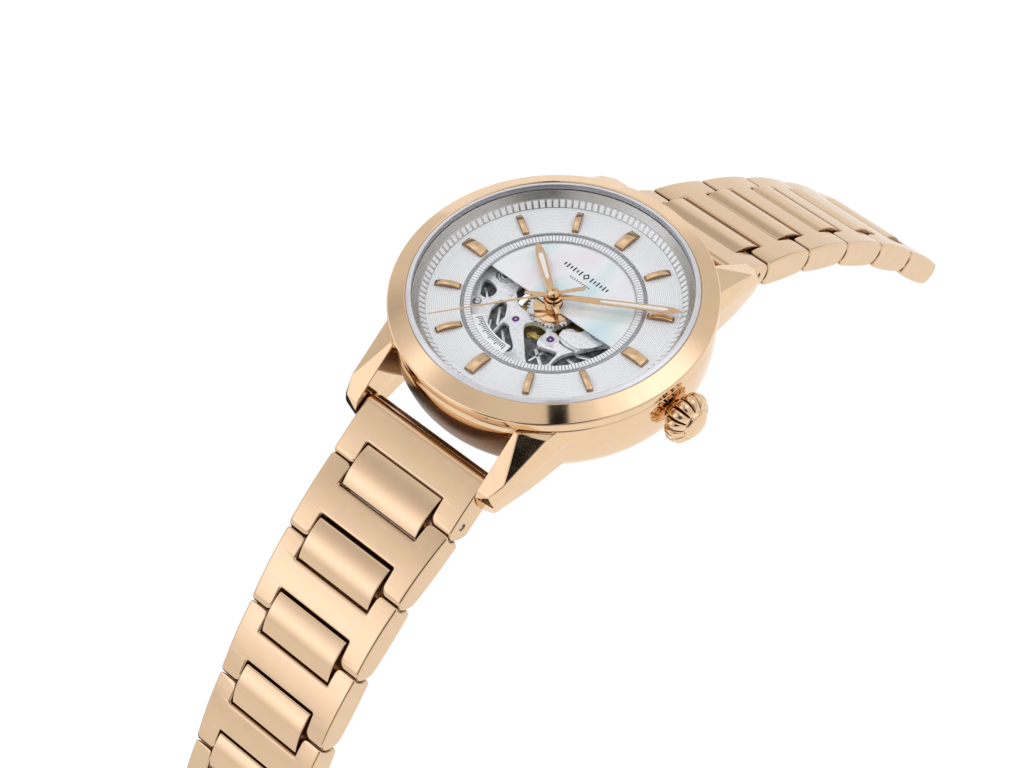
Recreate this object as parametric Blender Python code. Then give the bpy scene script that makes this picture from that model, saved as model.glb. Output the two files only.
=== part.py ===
"""Skeleton wristwatch: 36.7 mm case, three-row H-link bracelet, folding clasp.

Frame: origin at the centre of the case back's flat outer face, +Z out of the dial,
+Y to 12 o'clock, +X to the crown. Numbers are millimetres, scaled to metres when a
mesh is written. Every piece is one object with its origin on the axis it turns about.
"""
import bpy, bmesh
from math import sin, cos, pi, radians, sqrt, atan2, hypot
from mathutils.geometry import tessellate_polygon
from mathutils import Vector

# ---------------------------------------------------------------- driving dimensions
MM = 0.001
LUG_WIDTH = 18.2            # between the lugs' inner faces
DIAL_Z = 8.6                # top of the dial
BEZEL_R = 18.35             # largest radius of the bezel
CRYSTAL_R = 16.15
CASE_BORE = 15.2            # inside of the mid-case
APERTURE_R = 9.06           # open centre of the dial
RING_OUT = 10.27            # outside of the serrated ring
CROWN_Z = 4.4               # height of the winding stem
SEG_IN = 32                 # facets round the rings inside the case
SEG = 40 

PITCH = 9.3                 # bracelet pin to pin
LINK_UP = 1.5               # top surface above the pin
LINK_DOWN = 1.9             # back surface below the pin
NOSE_R = 1.92               # rounded end of a link, about its pin
SOCKET_R = 2.04             # hollow end that faces it
PIN_R = 0.40
PIN_BORE = 0.46
END_TILT = 34.0             # slope of both end links, degrees below level
TILT_6 = (33.0, 43.0, 50.5, 57.0, 63.0)     # slopes of the links on the 6 o'clock side
TILT_12 = (29.0, 33.5, 40.0, 45.5, 51.0)    # and on the 12 o'clock side
CLASP_TILT = 67.0
HALF_W = (8.95, 8.55, 8.25, 8.05, 7.95, 7.9)  # half width at each joint
CENTRE_FRACTION = 0.637     # centre row's share of the width
END_PIN = (24.27, DIAL_Z - 9.37)            # y, z of the pin in an end link's legs
BAR = (20.07, DIAL_Z - 6.66)                # y, z of the spring bars

CENTRE_D = 4.34             # centre axis to third wheel
THIRD = (2.67, -3.42)
ESCAPE = (-2.20, -3.80)
PALLET = (-5.00, -1.63)
BALANCE = (-7.30, 0.08)
BARREL = (-0.94, 5.32)
T_CENTRE, T_THIRD, T_FOURTH, T_LEAF = 48, 45, 60, 6    # wheel teeth and pinion leaves: 8 x 7.5 = 60
T_BARREL, T_CENTRE_LEAF, T_HOUR, T_ESCAPE = 60, 10, 30, 15
TIME = (304.8, 57.6, 216.0) # hour, minute and seconds hands, degrees clockwise from 12

for o in list(bpy.data.objects):
    bpy.data.objects.remove(o, do_unlink=True)

# ---------------------------------------------------------------- materials
def material(name, rgb, rough, metal=1.0, alpha=1.0):
    m = bpy.data.materials.new(name)
    m.use_nodes = True
    b = m.node_tree.nodes["Principled BSDF"]
    b.inputs["Base Color"].default_value = (*rgb, 1)
    b.inputs["Roughness"].default_value = rough
    b.inputs["Metallic"].default_value = metal
    b.inputs["Alpha"].default_value = alpha
    m.diffuse_color = (*rgb, 1)
    return m

ROSE = material("rose_gold_polished", (0.86, 0.62, 0.42), 0.14)
SATIN = material("rose_gold_satin", (0.84, 0.61, 0.42), 0.30)
STEEL = material("steel", (0.72, 0.72, 0.73), 0.25)
DARK = material("dark_plate", (0.18, 0.18, 0.19), 0.40)
SILVER = material("silver_dial", (0.80, 0.81, 0.82), 0.35)
PEARL = material("mother_of_pearl", (0.86, 0.84, 0.87), 0.20, 0.0)
GREY = material("rehaut_grey", (0.55, 0.55, 0.53), 0.35)
GLASS = material("mineral_glass", (0.92, 0.95, 0.97), 0.03, 0.0, 0.25)
BRASS = material("gilt_brass", (0.83, 0.62, 0.25), 0.25)
RUBBER = material("gasket_rubber", (0.03, 0.03, 0.03), 0.70, 0.0)
PLASTIC = material("movement_holder", (0.25, 0.25, 0.26), 0.50, 0.0)

# ---------------------------------------------------------------- mesh makers (millimetres)
def lathe(profile, n=SEG, closed=True, phase=0.0):
    """Turn (r, z) points about Z. A closed profile makes a ring; an open one starts and ends on the axis."""
    verts, rows = [], []
    for r, z in profile:
        if r < 1e-9:
            rows.append([len(verts)])
            verts.append((0, 0, z))
        else:
            rows.append(list(range(len(verts), len(verts) + n)))
            verts += [(r * cos(phase + 2 * pi * i / n), r * sin(phase + 2 * pi * i / n), z) for i in range(n)]
    faces = []
    pairs = list(zip(rows[:-1], rows[1:])) + ([(rows[-1], rows[0])] if closed else [])
    for a, b in pairs:
        for i in range(n):
            j = (i + 1) % n
            if len(a) == 1 and len(b) == 1:
                continue
            if len(a) == 1:
                faces.append((a[0], b[j], b[i]))
            elif len(b) == 1:
                faces.append((a[i], a[j], b[0]))
            else:
                faces.append((a[i], a[j], b[j], b[i]))
    return verts, faces

def prism(loops, z0, z1):
    """Upright prism on an outline with holes; loops[0] is the outside."""
    flat = [p for l in loops for p in l]
    m = len(flat)
    verts = [(x, y, z0) for x, y in flat] + [(x, y, z1) for x, y in flat]
    tris = tessellate_polygon([[Vector((x, y, 0)) for x, y in l] for l in loops])
    faces = [tuple(t) for t in tris] + [tuple(m + k for k in t[::-1]) for t in tris]
    base = 0
    for l in loops:
        k = len(l)
        faces += [(base + i, base + (i + 1) % k, m + base + (i + 1) % k, m + base + i) for i in range(k)]
        base += k
    return verts, faces

def circle(r, n, cx=0.0, cy=0.0, phase=0.0):
    return [(cx + r * cos(phase + 2 * pi * i / n), cy + r * sin(phase + 2 * pi * i / n)) for i in range(n)]

def arc(r, a0, a1, n, cx=0.0, cy=0.0):
    return [(cx + r * cos(radians(a0 + (a1 - a0) * i / n)), cy + r * sin(radians(a0 + (a1 - a0) * i / n)))
            for i in range(n + 1)]

def slab(profile, width):
    """Prism along X on a (s, t) side outline: s runs away from the case, towards -Y, and t outwards.
    width(s) gives the two x faces, so a slab can taper."""
    m = len(profile)
    verts = [(width(s)[0], -s, t) for s, t in profile] + [(width(s)[1], -s, t) for s, t in profile]
    tris = tessellate_polygon([[Vector((s, t, 0)) for s, t in profile]])
    faces = [tuple(t) for t in tris] + [tuple(m + k for k in t[::-1]) for t in tris]
    faces += [(i, (i + 1) % m, m + (i + 1) % m, m + i) for i in range(m)]
    return verts, faces

def rod(p0, p1, r, n=12):
    """Round bar between two points."""
    a, b = Vector(p0), Vector(p1)
    q = (b - a).to_track_quat('Z', 'Y')
    v, f = lathe([(0, 0), (r, 0), (r, (b - a).length), (0, (b - a).length)], n, False, pi / n)
    return [tuple(a + q @ Vector(p)) for p in v], f

def box(x0, x1, y0, y1, z0, z1):
    return prism([[(x0, y0), (x1, y0), (x1, y1), (x0, y1)]], z0, z1)

def hull(points):
    bm = bmesh.new()
    for p in points:
        bm.verts.new(p)
    out = bmesh.ops.convex_hull(bm, input=bm.verts)
    bmesh.ops.delete(bm, geom=[v for v in bm.verts if not v.link_faces], context='VERTS')
    bm.verts.index_update()
    data = [tuple(v.co) for v in bm.verts], [tuple(v.index for v in f.verts) for f in bm.faces]
    bm.free()
    return data

def to_mesh(name, data, smooth=35):
    bm = bmesh.new()
    vs = [bm.verts.new([c * MM for c in p]) for p in data[0]]
    for f in data[1]:
        bm.faces.new([vs[i] for i in f])
    bmesh.ops.recalc_face_normals(bm, faces=bm.faces)
    if bm.calc_volume(signed=True) < 0:
        bmesh.ops.reverse_faces(bm, faces=bm.faces)
    me = bpy.data.meshes.new(name)
    bm.to_mesh(me)
    bm.free()
    me.shade_smooth()
    me.set_sharp_from_angle(angle=radians(smooth))
    return me

def place(name, mesh, at, rot):
    o = bpy.data.objects.new(name, mesh)
    bpy.context.collection.objects.link(o)
    o.location = [c * MM for c in at]
    o.rotation_euler = [radians(a) for a in rot]
    return o

def piece(name, mat, body, add=(), cut=(), at=(0, 0, 0), rot=(0, 0, 0)):
    """One named object: a body, shapes joined to it and shapes cut from it, all in its own frame."""
    me = to_mesh(name, body)
    me.materials.append(mat)
    o = place(name, me, at, rot)
    for kind, shapes in (("UNION", add), ("DIFFERENCE", cut)):
        for i, s in enumerate(shapes):
            tool = place(f"{name}_{kind.lower()}_{i}", to_mesh(f"{name}_tool", s), at, rot)
            tool.hide_render = True
            tool.display_type = 'WIRE'
            b = o.modifiers.new(f"{kind}_{i}", 'BOOLEAN')
            b.operation, b.solver, b.object = kind, 'EXACT', tool
    return o

# ---------------------------------------------------------------- gears
def gear(teeth, pitch_r, depth=0.11, phase=0.0):
    """Pointed-tooth outline, two points to a tooth; phase is the first tip's angle in tooth pitches."""
    out = []
    for k in range(teeth):
        for f, r in ((0.0, pitch_r + depth), (0.5, pitch_r - depth)):
            a = 2 * pi * (k + f + phase) / teeth
            out.append((r * cos(a), r * sin(a)))
    return out

def windows(r0, r1, count, web, n=5, phase=0.0):
    """Openings between the spokes of a wheel: spokes are web wide."""
    out = []
    for k in range(count):
        a0 = phase + 360.0 * k / count
        d1, d0 = math_deg(web / 2 / r1), math_deg(web / 2 / r0)
        outer = arc(r1, a0 + d1, a0 + 360.0 / count - d1, n)
        inner = arc(r0, a0 + 360.0 / count - d0, a0 + d0, 3)
        out.append(outer + inner)
    return out

def math_deg(a):
    return a * 180 / pi

def mesh_phase(teeth, centre, other, other_teeth, other_phase):
    """Phase that puts this gear in mesh with another at rest: a tip of one in a gap of the other."""
    a = atan2(centre[1] - other[1], centre[0] - other[0])
    tooth_other = (a / (2 * pi) * other_teeth - other_phase) % 1.0
    here = (a + pi) / (2 * pi) * teeth
    return (here + tooth_other + 0.5) % 1.0

# ================================================================ case
mid = [(15.8, 0.8), (16.35, 0.8), (17.0, 1.35), (17.65, 3.0), (18.0, 5.2), (18.05, 7.3), (17.85, 8.12),
       (17.5, 8.38), (CASE_BORE, 8.38), (CASE_BORE, 1.42), (15.8, 1.42)]

def lug(sx, sy):
    """Faceted lug: flat inner face, sloping top, a bevel along the outer edge and a cut-back tip."""
    inner = LUG_WIDTH / 2
    pts = []
    for y, z in ((13.0, 7.9), (15.9, 8.1), (21.9, 3.55), (22.35, 2.6), (21.8, 0.35), (18.5, 0.15), (13.0, 1.2)):
        pts.append((inner, y, z))
    for x, y, z in ((11.1, 15.7, 8.0), (10.9, 21.75, 3.45), (12.5, 13.0, 7.0), (12.45, 15.3, 7.2),
                    (11.7, 21.2, 2.75), (11.5, 21.7, 2.2), (11.5, 21.1, 0.55), (12.2, 17.5, 0.6), (12.5, 13.0, 1.6)):
        pts.append((x, y, z))
    return hull([(sx * x, sy * y, z) for x, y, z in pts])

bar_holes = [rod((sx * (LUG_WIDTH / 2 - 0.5), sy * BAR[0], BAR[1]), (sx * (LUG_WIDTH / 2 + 0.8), sy * BAR[0], BAR[1]), 0.48, 12)
             for sx in (1, -1) for sy in (1, -1)]
piece("mid_case", SATIN, lathe(mid),
      add=[lug(1, 1), lug(-1, 1), lug(1, -1), lug(-1, -1), rod((16.2, 0, CROWN_Z), (18.95, 0, CROWN_Z), 1.1, 16)],
      cut=[rod((14, 0, CROWN_Z), (20, 0, CROWN_Z), 0.75, 16)] + bar_holes)

piece("bezel", ROSE, lathe([(15.75, 8.42), (18.2, 8.42), (BEZEL_R, 8.6), (BEZEL_R, 9.5), (18.2, 9.72), (16.3, 10.7),
                            (16.22, 10.6), (16.22, 10.08), (15.75, 10.08)]))
dome = [(r, 10.86 + 0.75 * (1 - (r / 15.9) ** 2)) for r in (0, 8.0, 12.5, 15.9)]
under = [(r, 10.12 + 0.80 * (1 - (r / 16.19) ** 2)) for r in (12.5, 8.0, 0)]
piece("crystal", GLASS, lathe([(0, dome[0][1])] + dome[1:] + [(CRYSTAL_R, 10.66), (16.19, 10.5), (16.19, 10.12)] + under, SEG, False))
piece("rehaut_ring", GREY, lathe([(14.45, 8.64), (15.66, 8.64), (15.66, 10.05), (15.5, 10.05)], SEG_IN))

piece("dial", SILVER, lathe([(9.72, 8.2), (15.12, 8.2), (15.12, DIAL_Z), (10.32, DIAL_Z), (10.32, 8.28), (9.72, 8.28)], SEG_IN))
piece("chapter_ring", SILVER, lathe([(APERTURE_R, 8.31), (RING_OUT, 8.31), (RING_OUT, 8.64), (9.25, 8.64), (APERTURE_R, 8.5)], SEG_IN))
PLATE_EDGE = -0.4
a_edge = math_deg(atan2(-PLATE_EDGE, sqrt(9.65 ** 2 - PLATE_EDGE ** 2)))
b_edge = math_deg(atan2(-PLATE_EDGE, sqrt(1.0 - PLATE_EDGE ** 2)))
piece("pearl_plate", PEARL, prism([arc(9.65, -a_edge, 180 + a_edge, 24) + arc(1.0, 180 + b_edge, -b_edge, 8)], 8.03, 8.27))

def index_block(hour):
    """Applied marker: 3 mm long, crowned along its length, wider at 12, 3, 6 and 9."""
    w = 0.85 if hour % 3 == 0 else 0.45
    a = radians(90 - 30 * hour)
    u, v = (cos(a), sin(a)), (-sin(a), cos(a))
    out = []
    for r, h in ((10.55, 0.30), (11.3, 0.46), (12.7, 0.46), (13.5, 0.34)):
        for s, z in ((-w, DIAL_Z + 0.02), (w, DIAL_Z + 0.02), (-w * 0.92, DIAL_Z + h), (w * 0.92, DIAL_Z + h)):
            out.append((r * u[0] + s * v[0], r * u[1] + s * v[1], z))
    return hull(out)
piece("hour_indices", ROSE, lathe([(11.9, DIAL_Z + 0.02), (12.1, DIAL_Z + 0.02), (12.1, DIAL_Z + 0.09), (11.9, DIAL_Z + 0.09)], 24),
      add=[index_block(h) for h in range(12)])

# case back, its seal and window
piece("case_back", STEEL, lathe([(12.64, 0.0), (15.4, 0.0), (16.1, 0.3), (16.2, 0.76), (15.16, 0.76),
                                 (15.16, 1.45), (12.0, 1.45), (12.0, 0.93), (12.64, 0.93)]),
      cut=[box(-1.2, 1.2, 14.7, 16.6, -0.4, 0.3)] +
          [[(lambda p: [(x * cos(radians(a)) - y * sin(radians(a)), x * sin(radians(a)) + y * cos(radians(a)), z) for x, y, z in p])(box(-1.2, 1.2, 14.7, 16.6, -0.4, 0.3)[0]),
            box(-1.2, 1.2, 14.7, 16.6, -0.4, 0.3)[1]] for a in (60, 120, 180, 240, 300)])
piece("back_crystal", GLASS, lathe([(0, 0.0), (12.6, 0.0), (12.6, 0.88), (0, 0.88)], SEG, False))
piece("back_gasket", RUBBER, lathe([(15.28, 0.86), (15.72, 0.86), (15.72, 1.34), (15.28, 1.34)], SEG_IN))

# ================================================================ crown and stem
N_RIDGE = 14
def crown_outline():
    out = []
    for k in range(N_RIDGE):
        for f, r in ((-0.30, 2.82), (0.0, 2.95), (0.30, 2.82), (0.5, 2.55)):
            a = 2 * pi * (k + f) / N_RIDGE
            out.append((r * cos(a), r * sin(a)))
    return out
piece("crown", ROSE, prism([crown_outline()], 18.6, 20.55),
      add=[lathe([(0, 20.4), (2.0, 20.4), (2.0, 20.8), (1.75, 21.15), (1.1, 21.38), (0, 21.45)], 20, False)],
      cut=[lathe([(0, 18.4), (1.25, 18.4), (1.25, 19.15), (0, 19.15)], 16, False),
           lathe([(0, 18.9), (0.66, 18.9), (0.66, 19.9), (0, 19.9)], 12, False)],
      at=(0, 0, CROWN_Z), rot=(0, 90, 0))
piece("winding_stem", STEEL, lathe([(0, 8.7), (0.45, 8.7), (0.45, 9.4), (0.6, 9.4), (0.6, 9.8), (0.35, 9.8), (0.35, 10.3),
                                    (0.6, 10.3), (0.6, 19.7), (0, 19.7)], 12, False), at=(0, 0, CROWN_Z), rot=(0, 90, 0))
piece("setting_lever", STEEL, prism([[(9.85, -0.3), (10.25, -0.3), (10.25, 0.6), (9.4, 2.2), (8.6, 2.2), (8.6, 1.6), (9.2, 1.3)]], 5.05, 5.3),
      add=[box(9.88, 10.22, -0.25, 0.25, 4.8, 5.15)])

# ================================================================ movement
def blob(points, n=2):
    """Closed smooth outline through a few points."""
    out, m = [], len(points)
    for i in range(m):
        p0, p1, p2, p3 = (points[(i + k - 1) % m] for k in range(4))
        for j in range(n):
            t = j / n
            out.append(tuple(0.5 * (2 * b + (c - a) * t + (2 * a - 5 * b + 4 * c - d) * t * t + (3 * b - a - 3 * c + d) * t ** 3)
                             for a, b, c, d in zip(p0, p1, p2, p3)))
    return out

PLATE_HOLES = [
    blob([(-8.9, -1.9), (-7.7, -1.7), (-6.8, -2.2), (-6.6, -3.2), (-7.4, -3.9), (-8.3, -3.3)]),
    blob([(-5.2, -2.9), (-4.1, -3.3), (-3.3, -4.4), (-3.2, -5.3), (-3.6, -7.6), (-4.6, -5.6), (-5.4, -4.1)]),
    blob([(-2.9, -5.4), (-1.9, -5.5), (-0.9, -6.2), (0.3, -7.4), (-1.2, -7.7), (-2.9, -7.8), (-3.2, -6.6)]),
    blob([(-0.6, -3.6), (0.4, -3.0), (1.5, -3.3), (1.5, -4.3), (2.5, -5.2), (4.2, -4.8), (4.4, -6.4), (3.2, -7.4), (1.6, -6.0)]),
    blob([(4.6, -3.2), (5.8, -3.4), (6.8, -1.6), (7.7, -0.2), (8.2, -1.6), (7.2, -4.4), (5.4, -6.0), (5.0, -4.6)]),
    blob([(-4.5, 0.3), (-3.0, 0.5), (-2.9, -1.0), (-1.9, -2.6), (-3.2, -2.3), (-4.4, -0.9)]),
    blob([(2.9, 0.2), (4.8, 0.0), (4.6, -0.9), (3.0, -1.7), (2.6, -0.7)]),
]
def hole(c, r, n=8):
    return circle(r, n, c[0], c[1])

piece("mainplate", STEEL,
      prism([circle(11.65, SEG_IN)] + PLATE_HOLES + [hole(c, 0.2) for c in (THIRD, ESCAPE, PALLET, BALANCE)] +
            [hole(BARREL, 0.46, 10), hole((0, 0), 0.46, 12)], 6.7, 7.3),
      add=[lathe([(10.7, 3.25), (11.65, 3.25), (11.65, 6.9), (10.7, 6.9)], SEG_IN)],
      cut=[rod((9.5, 0, CROWN_Z), (12.5, 0, CROWN_Z), 0.95, 12), box(9.8, 12.5, -0.5, 1.7, 4.75, 5.6)])
piece("movement_ring", PLASTIC, lathe([(11.75, 1.78), (15.1, 1.78), (15.1, 8.16), (11.75, 8.16)], SEG_IN),
      cut=[rod((11, 0, CROWN_Z), (16, 0, CROWN_Z), 0.95, 12)])

BALANCE_BAY = arc(3.35, -118, 62, 8, *BALANCE)
bay = [p for p in BALANCE_BAY]
bridge_outline = ([(11.6 * cos(radians(a)), 11.6 * sin(radians(a))) for a in [160 - 320 * i / 28 for i in range(29)]]
                  + bay)
piece("train_bridge", STEEL,
      prism([bridge_outline, hole(THIRD, 0.2), hole(ESCAPE, 0.2), hole(BARREL, 0.46, 10), hole((0, 0), 0.2),
             blob([(4.8, -2.0), (6.5, -2.4), (7.4, -4.2), (6.2, -6.4), (4.4, -6.8), (5.2, -4.6)]),
             blob([(-3.9, 7.2), (-1.6, 8.9), (1.8, 8.8), (3.2, 7.2), (1.4, 7.7), (-1.8, 7.6)]),
             blob([(-0.6, -5.6), (1.2, -6.2), (2.6, -7.4), (0.6, -8.6), (-1.6, -7.6)])], 2.6, 3.15),
      add=[lathe([(1.2, 2.48), (1.7, 2.48), (1.7, 2.7), (1.2, 2.7)], 20)])
rad = hypot(*BALANCE)
piece("balance_cock", STEEL,
      prism([[(-11.5, -1.4), (-10.2, -1.3), (-8.4, -0.9)] + arc(1.2, -120, 120, 6, *BALANCE) + [(-8.6, 1.1), (-10.2, 1.3), (-11.5, 1.3)],
             hole(BALANCE, 0.2)], 2.6, 3.15))

def arbor(sections, n=8):
    """Turned arbor from (z, r) steps."""
    prof = [(0, sections[0][0])]
    for (z0, r), (z1, _) in zip(sections[:-1], sections[1:]):
        prof += [(r, z0), (r, z1)]
    prof.append((0, sections[-1][0]))
    return lathe(prof, n, False)

def pair(distance, wheel, pinion):
    """Pitch radii of a wheel and a pinion in mesh."""
    return distance * wheel / (wheel + pinion), distance * pinion / (wheel + pinion)
R_CENTRE, R_THIRD_P = pair(CENTRE_D, T_CENTRE, T_LEAF)
R_THIRD, R_FOURTH_P = pair(CENTRE_D, T_THIRD, T_LEAF)
R_FOURTH, R_ESC_P = pair(hypot(*ESCAPE), T_FOURTH, T_LEAF)
R_BARREL, R_CENTRE_P = pair(hypot(*BARREL), T_BARREL, T_CENTRE_LEAF)

ph_third_p = mesh_phase(T_LEAF, THIRD, (0, 0), T_CENTRE, 0.0)
ph_fourth_p = mesh_phase(T_LEAF, (0, 0), THIRD, T_THIRD, 0.0)
ph_escape_p = mesh_phase(T_LEAF, ESCAPE, (0, 0), T_FOURTH, 0.0)
ph_barrel = mesh_phase(T_BARREL, BARREL, (0, 0), T_CENTRE_LEAF, 0.0)

# centre wheel: minute arbor, hollow for the seconds arbor
tube = [(0.18, 5.05), (0.5, 5.05), (0.5, 6.3), (0.4, 6.3), (0.4, 9.75), (0.18, 9.75)]
piece("center_wheel", BRASS, prism([gear(T_CENTRE, R_CENTRE, 0.14), circle(0.3, 10)] + windows(1.2, 3.2, 4, 0.45, 3), 6.0, 6.2),
      add=[lathe(tube, 10), prism([gear(T_CENTRE_LEAF, R_CENTRE_P, 0.12), circle(0.3, 10)], 5.25, 5.75)])
piece("hour_wheel", STEEL, prism([gear(T_HOUR, 2.78, 0.17), circle(0.6, 12)], 7.5, 7.75),
      add=[lathe([(0.46, 7.42), (0.95, 7.42), (0.95, 7.7), (2.25, 7.7), (2.25, 7.92), (0.78, 7.92), (0.78, 9.05), (0.46, 9.05)], 16)])
piece("third_wheel", BRASS, prism([gear(T_THIRD, R_THIRD, 0.14)] + windows(0.9, 3.1, 3, 0.45, 4), 4.5, 4.7),
      add=[arbor([(2.75, 0.12), (3.25, 0.14), (4.3, 0.45), (4.9, 0.2), (6.5, 0.12), (7.1, 0.12)]),
           prism([gear(T_LEAF, R_THIRD_P, 0.13, ph_third_p)], 5.85, 6.4)], at=(*THIRD, 0))
piece("fourth_wheel", BRASS, prism([gear(T_FOURTH, R_FOURTH, 0.1)] + windows(0.9, 3.4, 4, 0.4, 3), 3.3, 3.5),
      add=[arbor([(2.8, 0.12), (3.2, 0.5), (3.9, 0.12), (10.35, 0.12)]),
           prism([gear(T_LEAF, R_FOURTH_P, 0.13, ph_fourth_p)], 4.3, 4.9)])
def escape_outline():
    out = []
    for k in range(T_ESCAPE):
        a = 2 * pi * k / T_ESCAPE
        for d, r in ((0.0, 2.1), (0.10, 1.55), (0.36, 1.5)):
            out.append((r * cos(a + d), r * sin(a + d)))
    return out
piece("escape_wheel", STEEL, prism([escape_outline()] + windows(0.6, 1.25, 4, 0.25, 3), 4.0, 4.15),
      add=[arbor([(2.75, 0.12), (3.12, 0.2), (6.5, 0.12), (7.1, 0.12)]),
           prism([gear(T_LEAF, R_ESC_P, 0.1, ph_escape_p)], 3.2, 3.75)], at=(*ESCAPE, 0))
piece("barrel", BRASS, prism([gear(T_BARREL, R_BARREL, 0.12, ph_barrel)], 5.35, 5.6),
      add=[lathe([(0, 3.7), (4.3, 3.7), (4.3, 5.72), (0, 5.72)], 24, False),
           arbor([(2.7, 0.4), (7.0, 0.4)], 10)], at=(*BARREL, 0))
# pallet fork: arms to the escape wheel, a lever to the balance
e_dir = math_deg(atan2(ESCAPE[1] - PALLET[1], ESCAPE[0] - PALLET[0]))
b_dir = math_deg(atan2(BALANCE[1] - PALLET[1], BALANCE[0] - PALLET[0]))
def polar(r, a):
    return (r * cos(radians(a)), r * sin(radians(a)))
piece("pallet_fork", STEEL,
      prism([[polar(0.35, e_dir), polar(1.15, e_dir + 62), polar(1.32, e_dir + 50), polar(1.5, e_dir + 58), polar(1.25, e_dir + 72),
              polar(0.4, b_dir - 40), polar(2.1, b_dir - 4), polar(2.1, b_dir + 4), polar(0.4, b_dir + 40),
              polar(1.25, e_dir - 72), polar(1.5, e_dir - 58), polar(1.32, e_dir - 50), polar(1.15, e_dir - 62)]], 3.98, 4.14),
      add=[arbor([(3.75, 0.2), (4.5, 0.12), (7.1, 0.12)])], at=(*PALLET, 0))
piece("balance_wheel", BRASS, prism([circle(3.0, 30)] + windows(0.6, 2.6, 3, 0.4, 6), 3.35, 3.65),
      add=[arbor([(2.75, 0.12), (3.25, 0.25), (3.8, 0.45), (4.3, 0.25), (6.5, 0.12), (7.1, 0.12)], 10)], at=(*BALANCE, 0))
def spiral():
    inner, outer, turns, n = 0.32, 1.9, 4, 52
    c = [(inner + (outer - inner) * i / n, 2 * pi * turns * i / n) for i in range(n + 1)]
    a = [((r + 0.05) * cos(t), (r + 0.05) * sin(t)) for r, t in c]
    b = [((r - 0.05) * cos(t), (r - 0.05) * sin(t)) for r, t in c]
    return a + b[::-1]
piece("hairspring", STEEL, prism([spiral()], 5.3, 5.5), at=(*BALANCE, 0))

rotor_out = arc(11.2, -178, -2, 24) + arc(1.6, 10, 170, 6)
rotor_plate = prism([rotor_out, arc(8.0, -160, -96, 5) + arc(3.0, -105, -150, 3),
                     arc(8.0, -84, -20, 5) + arc(3.0, -30, -75, 3), circle(0.66, 12)], 1.62, 1.95)
piece("rotor", STEEL, rotor_plate,
      add=[prism([arc(11.2, -177, -3, 24) + arc(8.7, -3, -177, 16)], 1.8, 2.4)])

# ================================================================ hands
def hand(name, angle, outline, z, thick, tube_r, tube_z, bore, extra=()):
    piece(name, ROSE, prism([outline] + [circle(bore, 10)] , z, z + thick), add=list(extra), rot=(0, 0, -angle))
hand("hour_hand", TIME[0], [(-0.35, -2.3), (0.35, -2.3), (0.42, -0.7)] + [(1.15 * cos(a), 1.15 * sin(a)) for a in (-0.5, 0, 0.5, 0.95)] +
     [(0.55, 1.3), (0.5, 7.4), (0.0, 8.6), (-0.5, 7.4), (-0.55, 1.3)] + [(-1.15 * cos(a), 1.15 * sin(a)) for a in (0.95, 0.5, 0, -0.5)] + [(-0.42, -0.7)],
     9.08, 0.18, 0, 0, 0.82)
hand("minute_hand", TIME[1], [(-0.3, -3.2), (0.3, -3.2), (0.38, -0.7)] + [(0.95 * cos(a), 0.95 * sin(a)) for a in (-0.5, 0, 0.5, 0.95)] +
     [(0.45, 1.2), (0.4, 13.3), (0.0, 14.4), (-0.4, 13.3), (-0.45, 1.2)] + [(-0.95 * cos(a), 0.95 * sin(a)) for a in (0.95, 0.5, 0, -0.5)] + [(-0.38, -0.7)],
     9.52, 0.18, 0, 0, 0.44)
hand("seconds_hand", TIME[2], [(-0.3, -3.6), (0.3, -3.6), (0.16, -0.6)] + [(0.7 * cos(a), 0.7 * sin(a)) for a in (-0.7, 0, 0.7)] +
     [(0.14, 1.0), (0.05, 14.1), (-0.05, 14.1), (-0.14, 1.0)] + [(-0.7 * cos(a), 0.7 * sin(a)) for a in (0.7, 0, -0.7)] + [(-0.16, -0.6)],
     9.98, 0.08, 0, 0, 0.16, extra=[lathe([(0.16, 9.98), (0.62, 9.98), (0.62, 10.4), (0.5, 10.52), (0.16, 10.52)], 12)])

# ================================================================ bracelet
def nose(s0, n=5):
    """Rounded end of a link about the pin at s0, from its top edge to its back edge."""
    a1 = math_deg(atan2(LINK_UP, sqrt(NOSE_R ** 2 - LINK_UP ** 2)))
    return [(s0 + NOSE_R * cos(radians(a)), NOSE_R * sin(radians(a))) for a in [a1 - (a1 + 75) * i / n for i in range(n + 1)]] \
        + [(s0 + 0.2, -LINK_DOWN)]

def socket(n=4):
    """Hollow end of a link about the pin at s = 0, from back edge to top edge."""
    a1 = math_deg(atan2(LINK_UP, sqrt(SOCKET_R ** 2 - LINK_UP ** 2)))
    return [(2.1, -LINK_DOWN)] + [(SOCKET_R * cos(radians(a)), SOCKET_R * sin(radians(a)))
                                  for a in [-30 + (a1 + 30) * i / n for i in range(n + 1)]]

BAR_FROM_PIN = hypot(END_PIN[0] - BAR[0], END_PIN[1] - BAR[1])
NOTCH = 2.83                 # half the notch length that two links share, from the gap
GAP_S = 1.29                 # gap centre beyond a pin

def notch(s0, s1, w0, w1):
    return hull([(x * (w0 if s == s0 else w1), -s, t) for s in (s0, s1) for x in (-1, 1) for t in (-4, 4)])

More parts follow.
